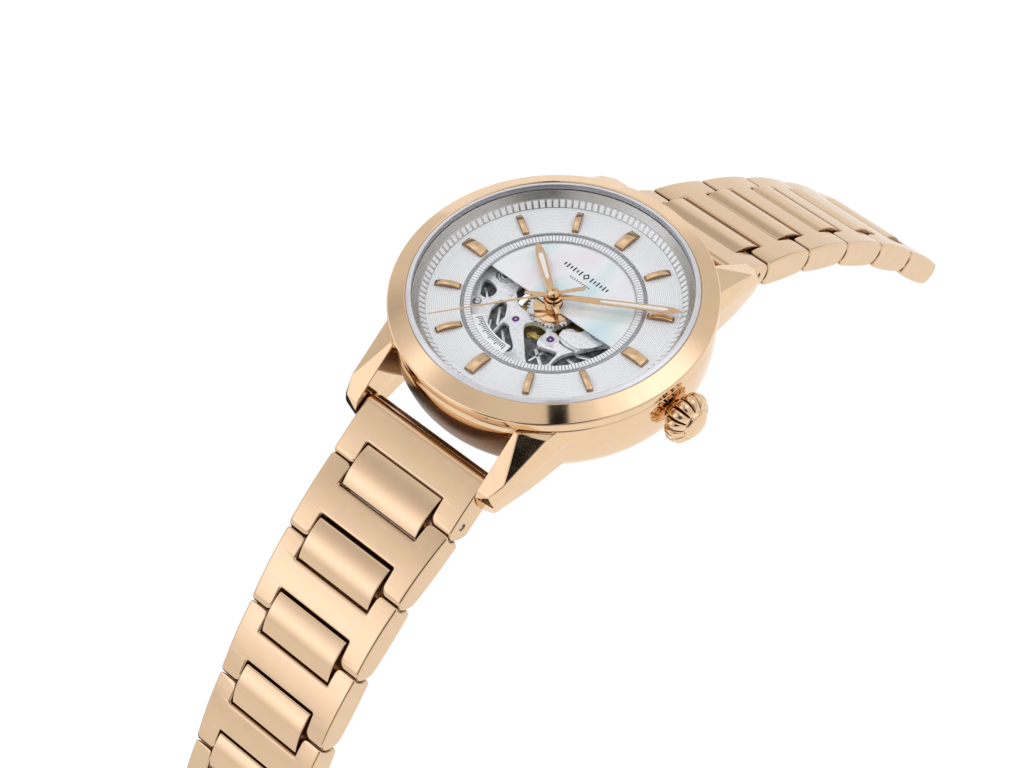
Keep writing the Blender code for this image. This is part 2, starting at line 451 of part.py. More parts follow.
def h_link(k):
    """H-link k: hollow end at the pin above, rounded end at its own pin, notched at both ends."""
    w0, w1 = HALF_W[k - 1], HALF_W[k]
    prof = socket() + nose(PITCH)
    width = lambda s: (-(w0 + (w1 - w0) * s / PITCH), w0 + (w1 - w0) * s / PITCH)
    c0, c1 = w0 * CENTRE_FRACTION + 0.1, w1 * CENTRE_FRACTION + 0.1
    cuts = [notch(-1, GAP_S + NOTCH, c0, c0), notch(PITCH + GAP_S - NOTCH, PITCH + 4, c1, c1)]
    pins = [rod((-c1 - 0.5, -PITCH, 0), (c1 + 0.5, -PITCH, 0), PIN_R, 10),
            rod((-c0 - 0.5, -3.0, -0.2), (c0 + 0.5, -3.0, -0.2), PIN_R, 10)]
    return slab(prof, width), cuts, pins

def centre_link(k):
    """Centre link k: fixed in H-link k, turning on the pin of the link above."""
    c = HALF_W[k - 1] * CENTRE_FRACTION - 0.04
    prof = [(-1.41, LINK_UP - 0.1), (-1.2, LINK_UP + 0.1), (3.75, LINK_UP + 0.1), (3.96, LINK_UP - 0.1), (3.96, -LINK_DOWN), (0.1, -LINK_DOWN)] + \
        [(1.45 * cos(radians(a)), 1.45 * sin(radians(a))) for a in (240, 215, 190)]
    return slab(prof, lambda s: (-c, c)), [rod((-9, 0, 0), (9, 0, 0), PIN_BORE, 12), rod((-9, -3.0, -0.2), (9, -3.0, -0.2), PIN_BORE, 12)]

def end_link():
    """End link, origin on its spring bar: a bored barrel end, two legs with the first link pin across them."""
    L = BAR_FROM_PIN
    w = HALF_W[0]
    tilt = math_deg(atan2(END_PIN[1] - BAR[1], END_PIN[0] - BAR[0])) + END_TILT   # pin's rise in the link's own frame
    s1, t1 = L * cos(radians(tilt)), L * sin(radians(tilt))
    prof = [(s1 - 6.3 + 0.25, t1 + LINK_UP - 0.35), (s1 - 6.05 + 0.25, t1 + LINK_UP)] + [(s, t + t1) for s, t in nose(s1)] + \
        [(s1 - 5.2, t1 - LINK_DOWN), (s1 - 6.2, t1 - 1.35), (s1 - 6.5, t1 - 0.4)]
    c = w * CENTRE_FRACTION + 0.1
    return (slab(prof, lambda s: (-w, w)),
            [notch(s1 + GAP_S - NOTCH, s1 + 4, c, c), rod((-12, 0, 0), (12, 0, 0), 0.84, 14)],
            [rod((-c - 0.5, -s1, t1), (c + 0.5, -s1, t1), PIN_R, 10)])

spring_bar = lathe([(0, -9.7), (0.4, -9.7), (0.4, -8.98), (0.78, -8.98), (0.78, 8.98), (0.4, 8.98), (0.4, 9.7), (0, 9.7)], 12, False)

for side, sy, yaw, tilts in (("6", -1, 0, TILT_6), ("12", 1, 180, TILT_12)):
    piece(f"spring_bar_{side}", STEEL, spring_bar, at=(0, sy * BAR[0], BAR[1]), rot=(0, 90, 0))
    b, cuts, pins = end_link()
    piece(f"end_link_{side}", SATIN, b, cut=cuts, add=[], at=(0, sy * BAR[0], BAR[1]), rot=(END_TILT, 0, yaw))
    o = bpy.data.objects[f"end_link_{side}"]
    for i, s in enumerate(pins):
        tool = place(f"end_link_{side}_pin_{i}", to_mesh("pin", s), (0, sy * BAR[0], BAR[1]), (END_TILT, 0, yaw))
        tool.hide_render, tool.display_type = True, 'WIRE'
        m = o.modifiers.new("pin", 'BOOLEAN')
        m.operation, m.solver, m.object = 'UNION', 'EXACT', tool
    y, z = END_PIN
    for k in range(1, 6):
        tilt = tilts[k - 1]
        at = (0, sy * y, z)
        b, cuts, pins = h_link(k)
        o = piece(f"h_link_{side}_{k}", SATIN, b, cut=cuts, at=at, rot=(tilt, 0, yaw))
        for i, s in enumerate(pins):
            tool = place(f"h_link_{side}_{k}_pin_{i}", to_mesh("pin", s), at, (tilt, 0, yaw))
            tool.hide_render, tool.display_type = True, 'WIRE'
            m = o.modifiers.new("pin", 'BOOLEAN')
            m.operation, m.solver, m.object = 'UNION', 'EXACT', tool
        b, bores = centre_link(k)
        piece(f"centre_link_{side}_{k}", ROSE, b, cut=bores, at=at, rot=(tilt, 0, yaw))
        y += PITCH * cos(radians(tilt))
        z -= PITCH * sin(radians(tilt))
    if side == "6":
        CLASP_AT = (0, -y, z)

# ================================================================ folding clasp, on the 6 o'clock half
COVER_L, COVER_W = 27.0, 8.3
COVER_IN = 7.2
A_PIN = (24.4, -1.6)          # s, t of the long blade's pivot in the cover
B_PIN = (4.6, -1.6)           # pivot between the blades
c5 = HALF_W[5] * CENTRE_FRACTION - 0.04
def round_rect(s0, s1, t0, t1):
    return [(s0, t0), (s1, t0), (s1, t1), (s0, t1)]

cover_prof = [(2.15, 1.1), (2.5, 1.5), (COVER_L - 0.6, 1.5), (COVER_L, 0.9), (COVER_L, -2.6), (2.15, -2.6)]
piece("clasp_cover", SATIN, slab(cover_prof, lambda s: (-COVER_W, COVER_W)),
      add=[slab([(-1.25, 0.9), (-1.0, 1.25), (3.0, 1.25), (3.0, -1.2), (0.2, -1.6)] + [(1.45 * cos(radians(a)), 1.45 * sin(radians(a))) for a in (235, 205)], lambda s: (-c5, c5))],
      cut=[slab(round_rect(3.2, COVER_L + 1, -5, 0.5), lambda s: (-COVER_IN, COVER_IN)),
           rod((-12, 0, 0), (12, 0, 0), PIN_BORE, 12),
           rod((COVER_IN - 1, -14.0, -1.0), (COVER_W + 1, -14.0, -1.0), 0.86, 14),
           rod((-COVER_IN + 1, -14.0, -1.0), (-COVER_W - 1, -14.0, -1.0), 0.86, 14)],
      at=CLASP_AT, rot=(CLASP_TILT, 0, 0))
cv = bpy.data.objects["clasp_cover"]
tool = place("clasp_cover_pin_a", to_mesh("pin", rod((-COVER_IN - 0.5, -A_PIN[0], A_PIN[1]), (COVER_IN + 0.5, -A_PIN[0], A_PIN[1]), PIN_R, 10)), CLASP_AT, (CLASP_TILT, 0, 0))
tool.hide_render, tool.display_type = True, 'WIRE'
m = cv.modifiers.new("pin", 'BOOLEAN')
m.operation, m.solver, m.object = 'UNION', 'EXACT', tool

def world(s, t):
    """Point of the clasp's frame at rest in the object's frame."""
    a = radians(CLASP_TILT)
    return (0, CLASP_AT[1] - s * cos(a) - t * sin(a), CLASP_AT[2] - s * sin(a) + t * cos(a))

# long blade: a frame with an open middle, an eye at each end; origin on its pivot in the cover
def eye(r, n=10):
    return circle(r, n)
LB = A_PIN[0] - B_PIN[0]
piece("clasp_blade_long", STEEL, slab([(-LB - 0.9, -0.35), (0.9, -0.35), (0.9, 0.35), (-LB - 0.9, 0.35)], lambda s: (-6.25, 6.25)),
      add=[rod((-6.25, 0, 0), (6.25, 0, 0), 0.95, 12), rod((-6.25, LB, 0), (6.25, LB, 0), 0.95, 12)],
      cut=[box(-5.0, 5.0, 1.4, LB + 3, -3, 3), rod((-12, 0, 0), (12, 0, 0), PIN_BORE, 12)],
      at=world(*A_PIN), rot=(CLASP_TILT, 0, 0))
lb = bpy.data.objects["clasp_blade_long"]
tool = place("clasp_blade_long_pin", to_mesh("pin", rod((-5.5, LB, 0), (5.5, LB, 0), PIN_R, 10)), world(*A_PIN), (CLASP_TILT, 0, 0))
tool.hide_render, tool.display_type = True, 'WIRE'
m = lb.modifiers.new("pin", 'BOOLEAN')
m.operation, m.solver, m.object = 'UNION', 'EXACT', tool

# short blade: nested in the long one, origin on the pivot between them
SB = 16.6
piece("clasp_blade_short", STEEL, slab([(-0.6, -0.35), (SB, -0.35), (SB, 0.35), (-0.6, 0.35)], lambda s: (-4.8, 4.8)),
      add=[rod((-4.8, 0, 0), (4.8, 0, 0), 0.95, 12), rod((-4.8, -SB, 0), (4.8, -SB, 0), 0.95, 12)],
      cut=[rod((-12, 0, 0), (12, 0, 0), PIN_BORE, 12), rod((-12, -SB, 0), (12, -SB, 0), PIN_BORE, 12),
           box(-2.6, 2.6, -SB + 3, -3, -3, 3)],
      at=world(*B_PIN), rot=(CLASP_TILT, 0, 0))

for nm, sx in (("right", 1), ("left", -1)):
    piece(f"push_button_{nm}", ROSE, lathe([(0, 7.0), (1.15, 7.0), (1.15, 7.16), (0.8, 7.16), (0.8, 8.9), (0.6, 9.1), (0, 9.1)], 14, False),
          at=world(14.0, -1.0), rot=(0, 90 * sx, 0))
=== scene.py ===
"""Looks of the skeleton wristwatch: final meshes, materials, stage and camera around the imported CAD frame.
Numbers are millimetres in the row frame (origin on the case back, +Z out of the dial, +Y to 12, +X to the crown)."""
import bpy, bmesh
from math import sin, cos, tan, pi, radians, degrees, sqrt, atan2, hypot, exp
from mathutils import Vector, Matrix
from mathutils.geometry import tessellate_polygon

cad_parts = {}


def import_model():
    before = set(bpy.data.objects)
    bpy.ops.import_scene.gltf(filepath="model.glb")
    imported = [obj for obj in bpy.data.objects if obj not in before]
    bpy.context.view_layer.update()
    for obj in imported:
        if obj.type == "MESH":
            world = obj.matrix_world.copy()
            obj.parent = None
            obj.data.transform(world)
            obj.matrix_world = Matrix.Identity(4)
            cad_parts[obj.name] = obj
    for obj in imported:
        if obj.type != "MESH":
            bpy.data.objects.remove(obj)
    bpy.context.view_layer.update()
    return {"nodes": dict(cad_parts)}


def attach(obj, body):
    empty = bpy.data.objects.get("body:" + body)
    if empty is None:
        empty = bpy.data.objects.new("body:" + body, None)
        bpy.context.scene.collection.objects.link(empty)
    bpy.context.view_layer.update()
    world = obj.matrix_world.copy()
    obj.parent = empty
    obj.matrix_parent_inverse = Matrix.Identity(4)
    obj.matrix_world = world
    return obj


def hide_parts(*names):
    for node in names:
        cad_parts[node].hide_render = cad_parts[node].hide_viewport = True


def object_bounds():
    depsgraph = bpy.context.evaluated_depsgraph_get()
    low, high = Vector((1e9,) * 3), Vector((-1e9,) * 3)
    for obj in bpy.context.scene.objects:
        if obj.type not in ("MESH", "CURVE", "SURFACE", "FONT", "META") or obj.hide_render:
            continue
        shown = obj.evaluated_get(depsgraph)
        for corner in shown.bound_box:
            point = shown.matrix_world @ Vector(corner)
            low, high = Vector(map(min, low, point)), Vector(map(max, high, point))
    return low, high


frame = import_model()
NODES = frame["nodes"]
MM = 0.001
scene = bpy.context.scene

# ---------------------------------------------------------------- sizes shared with the CAD frame
DIAL_Z = 8.6
CROWN_Z = 4.4
PITCH, LINK_UP, LINK_DOWN, NOSE_R, SOCKET_R = 9.3, 1.5, 1.9, 1.92, 2.04
GAP_S, NOTCH = 1.29, 2.83
END_TILT = 34.0
TILT = {"6": (33.0, 43.0, 50.5, 57.0, 63.0), "12": (29.0, 33.5, 40.0, 45.5, 51.0)}
CLASP_TILT = 67.0
HALF_W = (8.95, 8.55, 8.25, 8.05, 7.95, 7.9)
CENTRE_FRACTION = 0.637
END_PIN = (24.27, DIAL_Z - 9.37)
BAR = (20.07, DIAL_Z - 6.66)
THIRD, ESCAPE, PALLET, BALANCE, BARREL = (2.67, -3.42), (-2.20, -3.80), (-5.00, -1.63), (-7.30, 0.08), (-0.94, 5.32)
TIME = (304.8, 57.6, 216.0)
N = 256

# ================================================================ camera
AZ, EL, ROLL = 0.8020491569762369, 0.8740503904895044, -0.05414088299051126
PX_MM, FOCAL_PX, U0, V0 = 9.104130237987142, 3121.9, 553.593, 301.867
back = Vector((sin(AZ) * cos(EL), -cos(AZ) * cos(EL), sin(EL)))
x0 = Vector((0, 0, 1)).cross(back).normalized()
y0 = back.cross(x0)
right = x0 * cos(ROLL) + y0 * sin(ROLL)
up = -x0 * sin(ROLL) + y0 * cos(ROLL)
dist = FOCAL_PX / PX_MM
eye = -(right * ((U0 - 512) / PX_MM) + up * (-(V0 - 384) / PX_MM) + back * (-dist)) + Vector((0, 0, DIAL_Z))
cam = bpy.data.objects.new("camera", bpy.data.cameras.new("camera"))
scene.collection.objects.link(cam)
cam.data.sensor_width, cam.data.lens = 36.0, 36.0 * FOCAL_PX / 1024
cam.data.clip_start, cam.data.clip_end = 0.01, 20
m = Matrix((right, up, back)).transposed().to_4x4()
m.translation = eye * MM
cam.matrix_world = m
scene.camera = cam
scene.view_settings.view_transform = "Standard"
scene.view_settings.look = "None"

# ================================================================ materials
class Tree:
    """Small helper that adds and links shader nodes."""
    def __init__(self, tree):
        self.t = tree
    def __call__(self, kind, ins=None, **attrs):
        n = self.t.nodes.new(kind)
        for k, v in attrs.items():
            setattr(n, k, v)
        for k, v in (ins or {}).items():
            if isinstance(v, bpy.types.NodeSocket):
                self.t.links.new(v, n.inputs[k])
            else:
                n.inputs[k].default_value = v
        return n
    def ramp(self, fac, stops, mode='LINEAR'):
        n = self.t.nodes.new("ShaderNodeValToRGB")
        self.t.links.new(fac, n.inputs[0])
        n.color_ramp.interpolation = mode
        e = n.color_ramp.elements
        while len(e) < len(stops):
            e.new(0.5)
        for el, (p, c) in zip(e, stops):
            el.position = p
            el.color = (*c, 1) if len(c) == 3 else c
        return n.outputs[0]
    def maprange(self, v, a, b, c, d, kind='LINEAR'):
        return self("ShaderNodeMapRange", {0: v, 1: a, 2: b, 3: c, 4: d}, interpolation_type=kind).outputs[0]
    def math(self, op, a, b=0.0):
        return self("ShaderNodeMath", {0: a, 1: b}, operation=op).outputs[0]

def new_material(name):
    m = bpy.data.materials.new(name)
    m.use_nodes = True
    t = Tree(m.node_tree)
    return m, t, m.node_tree.nodes["Principled BSDF"]

def metal(name, rgb, rough, grain=(1, 1, 1), grain_amt=0.05, bump=0.0, tint=0.03, edge_highlight=0.0, scale=1.0):
    """Metal with fine finishing lines along one axis, soft handling marks in the roughness, a little colour drift and a
    painted highlight: convex edges are painted a lighter colour.
    """
    m, t, b = new_material(name)
    co = t("ShaderNodeTexCoord").outputs["Object"]
    mp = t("ShaderNodeMapping", {"Vector": co, "Scale": tuple(g * 1000 * scale for g in grain)}).outputs[0]
    fine = t("ShaderNodeTexNoise", {"Vector": mp, "Scale": 6.0, "Detail": 3.0, "Roughness": 0.6}).outputs["Fac"]
    soft = t("ShaderNodeTexNoise", {"Vector": co, "Scale": 420.0, "Detail": 3.0, "Roughness": 0.55}).outputs["Fac"]
    dark = tuple(c * (1 - tint) for c in rgb)
    light = tuple(min(1, c * (1 + tint)) for c in rgb)
    col = t.ramp(soft, [(0.3, dark), (0.7, light)])
    # painted highlight: convex edges, found by pointiness, are mixed towards a lighter colour
    if edge_highlight:
        geo = t("ShaderNodeNewGeometry").outputs["Pointiness"]
        edge = t.maprange(geo, 0.52, 0.60, 0.0, edge_highlight)
        col = t("ShaderNodeMix", {0: edge, 6: col, 7: (*[min(1, c * 1.12 + 0.05) for c in rgb], 1)}, data_type='RGBA').outputs[2]
    t.t.links.new(col, b.inputs["Base Color"])
    r = t.math('ADD', t.maprange(fine, 0.25, 0.75, rough - grain_amt, rough + grain_amt), t.maprange(soft, 0.35, 0.75, -0.02, 0.035))
    t.t.links.new(t.math('MAXIMUM', r, 0.02), b.inputs["Roughness"])
    b.inputs["Metallic"].default_value = 1.0
    if bump:
        bp = t("ShaderNodeBump", {"Strength": 1.0, "Distance": bump * MM, "Height": fine})
        t.t.links.new(bp.outputs[0], b.inputs["Normal"])
    return m

GOLD = (0.815, 0.585, 0.375)
M = {}
M["gold"] = metal("rose_gold_polished", GOLD, 0.085, (1, 1, 1), 0.02, edge_highlight=0.25)
M["gold_side"] = metal("rose_gold_flank", tuple(c * 0.93 for c in GOLD), 0.12, (1, 1, 1), 0.02, edge_highlight=0.25)
M["gold_satin"] = metal("rose_gold_satin", tuple(c * 0.84 for c in GOLD), 0.16, (1.2, 0.03, 1.2), 0.04, bump=0.0005, tint=0.02, edge_highlight=0.5)
M["gold_hand"] = metal("rose_gold_hands", (0.83, 0.57, 0.34), 0.12, (1, 1, 1), 0.02)
M["steel"] = metal("steel_satin", (0.72, 0.72, 0.73), 0.22, (1, 0.1, 1), 0.05, bump=0.0008, edge_highlight=0.3)
M["steel_bright"] = metal("steel_polished", (0.82, 0.82, 0.83), 0.12, (1, 1, 1), 0.03, edge_highlight=0.3)
M["brass"] = metal("gilt_brass", (0.86, 0.66, 0.22), 0.20, (1, 1, 1), 0.05, edge_highlight=0.3)
M["blued"] = metal("blued_screw_steel", (0.30, 0.32, 0.38), 0.2, (1, 1, 1), 0.04)
# painted shade: a darker gold for walls in the gaps between links, the crown's grooves and the flanks of the hour
# markers
M["painted_gap_shade"] = metal("rose_gold_painted_gap_shade", (0.36, 0.21, 0.115), 0.26, (1, 1, 1), 0.04, tint=0.10)
# painted shade: a near-black gold for the case wall in the recess between the lugs
M["painted_recess_shade"] = metal("painted_shade_recess_metal", (0.21, 0.10, 0.04), 0.30, (0.02, 0.02, 3.0), 0.08, bump=0.002, tint=0.15)

DIAL_LINES = 1450.0
def silver_dial():
    """Silvered dial ring: concentric turned lines over a fine grain, with a soft random drift in tone round the ring;
    the turned lines are painted darker, a painted shade in the grooves.
    """
    m, t, b = new_material("silver_dial")
    co = t("ShaderNodeTexCoord").outputs["Object"]
    xyz = t("ShaderNodeSeparateXYZ", {0: co})
    r = t.math('SQRT', t.math('ADD', t.math('POWER', xyz.outputs[0], 2.0), t.math('POWER', xyz.outputs[1], 2.0)))
    ring = t("ShaderNodeTexWave", {"Vector": t("ShaderNodeCombineXYZ", {0: r}).outputs[0], "Scale": DIAL_LINES, "Distortion": 0.0}, wave_type='BANDS', bands_direction='X').outputs["Fac"]
    n = t("ShaderNodeTexNoise", {"Vector": co, "Scale": 9000.0, "Detail": 2.0}).outputs["Fac"]
    soft = t("ShaderNodeTexNoise", {"Vector": co, "Scale": 150.0, "Detail": 1.0}).outputs["Fac"]
    col = t.ramp(soft, [(0.3, (0.95, 0.95, 0.945)), (0.7, (1.0, 1.0, 0.99))])
    # painted shade: the turned lines are mixed towards a darker grey
    col = t("ShaderNodeMix", {0: t.maprange(ring, 0.0, 0.55, 0.75, 0.0), 6: col, 7: (0.66, 0.665, 0.68, 1)}, data_type='RGBA').outputs[2]
    t.t.links.new(col, b.inputs["Base Color"])
    b.inputs["Metallic"].default_value = 0.18
    t.t.links.new(t.maprange(n, 0.3, 0.7, 0.26, 0.36), b.inputs["Roughness"])
    h = t.math('ADD', t.math('MULTIPLY', ring, 1.0), t.math('MULTIPLY', n, 0.35))
    t.t.links.new(t("ShaderNodeBump", {"Strength": 0.6, "Distance": 0.006 * MM, "Height": h}).outputs[0], b.inputs["Normal"])
    return m
M["dial"] = silver_dial()

def plain(name, rgb, rough, metallic=0.0, vary=0.05, scale=3000.0, bump=0.0, emit=0.0):
    m, t, b = new_material(name)
    co = t("ShaderNodeTexCoord").outputs["Object"]
    n = t("ShaderNodeTexNoise", {"Vector": co, "Scale": scale, "Detail": 4.0}).outputs["Fac"]
    t.t.links.new(t.ramp(n, [(0.3, tuple(c * (1 - vary) for c in rgb)), (0.7, tuple(min(1, c * (1 + vary)) for c in rgb))]), b.inputs["Base Color"])
    t.t.links.new(t.maprange(n, 0.3, 0.7, max(0.02, rough - 0.04), rough + 0.04), b.inputs["Roughness"])
    b.inputs["Metallic"].default_value = metallic
    if emit:
        b.inputs["Emission Color"].default_value = (*rgb, 1)
        b.inputs["Emission Strength"].default_value = emit
    if bump:
        t.t.links.new(t("ShaderNodeBump", {"Strength": 1.0, "Distance": bump * MM, "Height": n}).outputs[0], b.inputs["Normal"])
    return m
M["white"] = plain("serration_silver", (0.95, 0.95, 0.95), 0.30, 0.1, 0.02)
M["ring"] = plain("ring_silver", (0.42, 0.42, 0.43), 0.28, 0.7, 0.02)
M["rehaut"] = plain("rehaut_grey", (0.52, 0.50, 0.46), 0.24, 0.75, 0.03, 900.0)
M["lume"] = plain("hand_inlay", (0.90, 0.86, 0.80), 0.45, 0.0, 0.03)
M["ink"] = plain("printed_black", (0.012, 0.012, 0.013), 0.5)
M["jewel"] = plain("synthetic_ruby", (0.13, 0.012, 0.20), 0.12, 0.0, 0.3, 1500.0)
M["rubber"] = plain("gasket_rubber", (0.02, 0.02, 0.02), 0.7, bump=0.002)
M["holder"] = plain("movement_holder", (0.10, 0.10, 0.105), 0.5, bump=0.002)
# painted reflection: the crystal's rim is an opaque grey-lilac band in place of the glass edge's reflections
M["edge"] = plain("crystal_rim_painted_reflection", (0.72, 0.72, 0.745), 0.18, 0.45, 0.04, 700.0)

def pearl():
    """Mother of pearl: drifting bands of pale blue, green, rose and cream with silky grain."""
    m, t, b = new_material("mother_of_pearl")
    co = t("ShaderNodeTexCoord").outputs["Object"]
    warp = t("ShaderNodeTexNoise", {"Vector": co, "Scale": 120.0, "Detail": 1.0}).outputs["Color"]
    v = t("ShaderNodeVectorMath", {0: t("ShaderNodeVectorMath", {0: warp, 1: (0.006, 0.006, 0.006)}, operation='MULTIPLY').outputs[0], 1: co}, operation='ADD').outputs[0]
    mp = t("ShaderNodeMapping", {"Vector": v, "Rotation": (0, 0, 0.7), "Scale": (1.0, 0.4, 1.0)}).outputs[0]
    band = t("ShaderNodeTexNoise", {"Vector": mp, "Scale": 210.0, "Detail": 1.0, "Roughness": 0.4}).outputs["Fac"]
    hue = t.ramp(band, [(0.25, (0.62, 0.80, 0.90)), (0.38, (0.76, 0.90, 0.90)), (0.48, (0.94, 0.95, 0.96)), (0.58, (0.94, 0.86, 0.91)), (0.70, (0.97, 0.91, 0.89)), (0.85, (0.80, 0.89, 0.95))])
    silk = t("ShaderNodeTexNoise", {"Vector": t("ShaderNodeMapping", {"Vector": v, "Rotation": (0, 0, 0.6), "Scale": (900, 140, 900)}).outputs[0], "Scale": 1.0, "Detail": 4.0}).outputs["Fac"]
    col = t("ShaderNodeMix", {0: t.maprange(silk, 0.4, 0.75, 0.0, 0.45), 6: hue, 7: (0.97, 0.97, 0.98, 1)}, data_type='RGBA').outputs[2]
    t.t.links.new(col, b.inputs["Base Color"])
    b.inputs["Roughness"].default_value = 0.12
    b.inputs["Coat Weight"].default_value = 0.8
    b.inputs["Coat Roughness"].default_value = 0.08
    b.inputs["Metallic"].default_value = 0.15
    return m
M["pearl"] = pearl()

def plate(name, lo, hi, metallic, rough, spot=1400.0):
    """Movement plate with circular graining: overlapping soft spots of brighter and darker metal."""
    m, t, b = new_material(name)
    co = t("ShaderNodeTexCoord").outputs["Object"]
    v = t("ShaderNodeTexVoronoi", {"Vector": co, "Scale": spot, "Randomness": 0.35}).outputs["Distance"]
    n = t("ShaderNodeTexNoise", {"Vector": co, "Scale": 1500.0, "Detail": 6.0, "Roughness": 0.7}).outputs["Fac"]
    f = t.math('ADD', t.math('MULTIPLY', v, 0.7), t.math('MULTIPLY', n, 0.6))
    t.t.links.new(t.ramp(f, [(0.30, lo), (0.75, hi)]), b.inputs["Base Color"])
    b.inputs["Metallic"].default_value = metallic
    t.t.links.new(t.maprange(n, 0.3, 0.7, rough - 0.08, rough + 0.08), b.inputs["Roughness"])
    t.t.links.new(t("ShaderNodeBump", {"Strength": 0.5, "Distance": 0.02 * MM, "Height": f}).outputs[0], b.inputs["Normal"])
    return m
M["plate"] = plate("plate_silver", (0.80, 0.80, 0.81), (0.95, 0.95, 0.95), 0.30, 0.30)
M["dark"] = plate("plate_dark", (0.008, 0.008, 0.009), (0.16, 0.16, 0.165), 0.6, 0.40, 900.0)

def brushed_ring(name, rgb, rough):
    """Steel with a turned, circular grain about Z."""
    m, t, b = new_material(name)
    co = t("ShaderNodeTexCoord").outputs["Object"]
    xyz = t("ShaderNodeSeparateXYZ", {0: co})
    r = t.math('SQRT', t.math('ADD', t.math('POWER', xyz.outputs[0], 2.0), t.math('POWER', xyz.outputs[1], 2.0)))
    n = t("ShaderNodeTexNoise", {"Vector": t("ShaderNodeCombineXYZ", {0: r, 2: xyz.outputs[2]}).outputs[0], "Scale": 9000.0, "Detail": 4.0}).outputs["Fac"]
    t.t.links.new(t.ramp(n, [(0.3, tuple(c * 0.93 for c in rgb)), (0.7, rgb)]), b.inputs["Base Color"])
    b.inputs["Metallic"].default_value = 1.0
    t.t.links.new(t.maprange(n, 0.3, 0.7, rough - 0.07, rough + 0.07), b.inputs["Roughness"])
    t.t.links.new(t("ShaderNodeBump", {"Strength": 0.5, "Distance": 0.003 * MM, "Height": n}).outputs[0], b.inputs["Normal"])
    return m
M["back_steel"] = brushed_ring("case_back_steel", (0.70, 0.70, 0.71), 0.24)
M["rotor_steel"] = brushed_ring("rotor_steel", (0.74, 0.74, 0.75), 0.26)

def crystal():
    """Clear mineral glass: transparent, with a gloss that grows steeply at glancing angles."""
    m, t, b = new_material("mineral_glass")
    co = t("ShaderNodeTexCoord").outputs["Object"]
    n = t("ShaderNodeTexNoise", {"Vector": co, "Scale": 200.0, "Detail": 3.0}).outputs["Fac"]
    t.t.links.new(t.maprange(n, 0.4, 0.8, 0.01, 0.035), b.inputs["Roughness"])
    t.t.links.new(t.ramp(n, [(0.3, (0.93, 0.95, 0.98)), (0.7, (0.97, 0.98, 1.0))]), b.inputs["Base Color"])
    b.inputs["Metallic"].default_value = 1.0
    facing = t("ShaderNodeLayerWeight", {0: 0.5}).outputs["Facing"]
    fac = t.math('MULTIPLY', t.math('POWER', facing, 4.0), 0.5)
    mix = t("ShaderNodeMixShader", {0: fac, 1: t("ShaderNodeBsdfTransparent", {0: (0.985, 0.99, 0.995, 1)}).outputs[0], 2: b.outputs[0]})
    t.t.links.new(mix.outputs[0], m.node_tree.nodes["Material Output"].inputs[0])
    return m
M["glass"] = crystal()

# ================================================================ mesh makers (millimetres)
def lathe(profile, n=N, closed=True, phase=0.0):
    verts, rows = [], []
    for r, z in profile:
        if r < 1e-9:
            rows.append([len(verts)]); verts.append((0, 0, z))
        else:
            rows.append(list(range(len(verts), len(verts) + n)))
            verts += [(r * cos(phase + 2 * pi * i / n), r * sin(phase + 2 * pi * i / n), z) for i in range(n)]
    faces = []
    for a, b in list(zip(rows[:-1], rows[1:])) + ([(rows[-1], rows[0])] if closed else []):
        for i in range(n):
            j = (i + 1) % n
            if len(a) == 1 and len(b) == 1:
                continue
            if len(a) == 1:
                faces.append((a[0], b[j], b[i]))
            elif len(b) == 1:
                faces.append((a[i], a[j], b[0]))
            else:
                faces.append((a[i], a[j], b[j], b[i]))
    return verts, faces

def prism(loops, z0, z1):
    flat = [p for l in loops for p in l]
    m = len(flat)
    verts = [(x, y, z0) for x, y in flat] + [(x, y, z1) for x, y in flat]
    if len(loops) == 1:
        faces = [tuple(range(m)), tuple(range(2 * m - 1, m - 1, -1))]
    else:
        tris = tessellate_polygon([[Vector((x, y, 0)) for x, y in l] for l in loops])
        faces = [tuple(t) for t in tris] + [tuple(m + k for k in t[::-1]) for t in tris]
    base = 0
    for l in loops:
        k = len(l)
        faces += [(base + i, base + (i + 1) % k, m + base + (i + 1) % k, m + base + i) for i in range(k)]
        base += k
    return verts, faces

def circle(r, n=48, cx=0.0, cy=0.0, phase=0.0):
    return [(cx + r * cos(phase + 2 * pi * i / n), cy + r * sin(phase + 2 * pi * i / n)) for i in range(n)]

def arc(r, a0, a1, n, cx=0.0, cy=0.0):
    return [(cx + r * cos(radians(a0 + (a1 - a0) * i / n)), cy + r * sin(radians(a0 + (a1 - a0) * i / n))) for i in range(n + 1)]

def polar(r, a):
    return (r * cos(radians(a)), r * sin(radians(a)))

def slab(profile, width):
    m = len(profile)
    verts = [(width(s)[0], -s, t) for s, t in profile] + [(width(s)[1], -s, t) for s, t in profile]
    faces = [tuple(range(m)), tuple(range(2 * m - 1, m - 1, -1))]
    faces += [(i, (i + 1) % m, m + (i + 1) % m, m + i) for i in range(m)]
    return verts, faces

def rod(p0, p1, r, n=40, chamfer=0.0):
    a, b = Vector(p0), Vector(p1)
    q = (b - a).to_track_quat('Z', 'Y')
    L = (b - a).length
    c = chamfer
    prof = [(0, 0), (r - c, 0), (r, c), (r, L - c), (r - c, L), (0, L)] if c else [(0, 0), (r, 0), (r, L), (0, L)]
    v, f = lathe(prof, n, False)
    return [tuple(a + q @ Vector(p)) for p in v], f

def cuboid(x0, x1, y0, y1, z0, z1):
    return prism([[(x0, y0), (x1, y0), (x1, y1), (x0, y1)]], z0, z1)

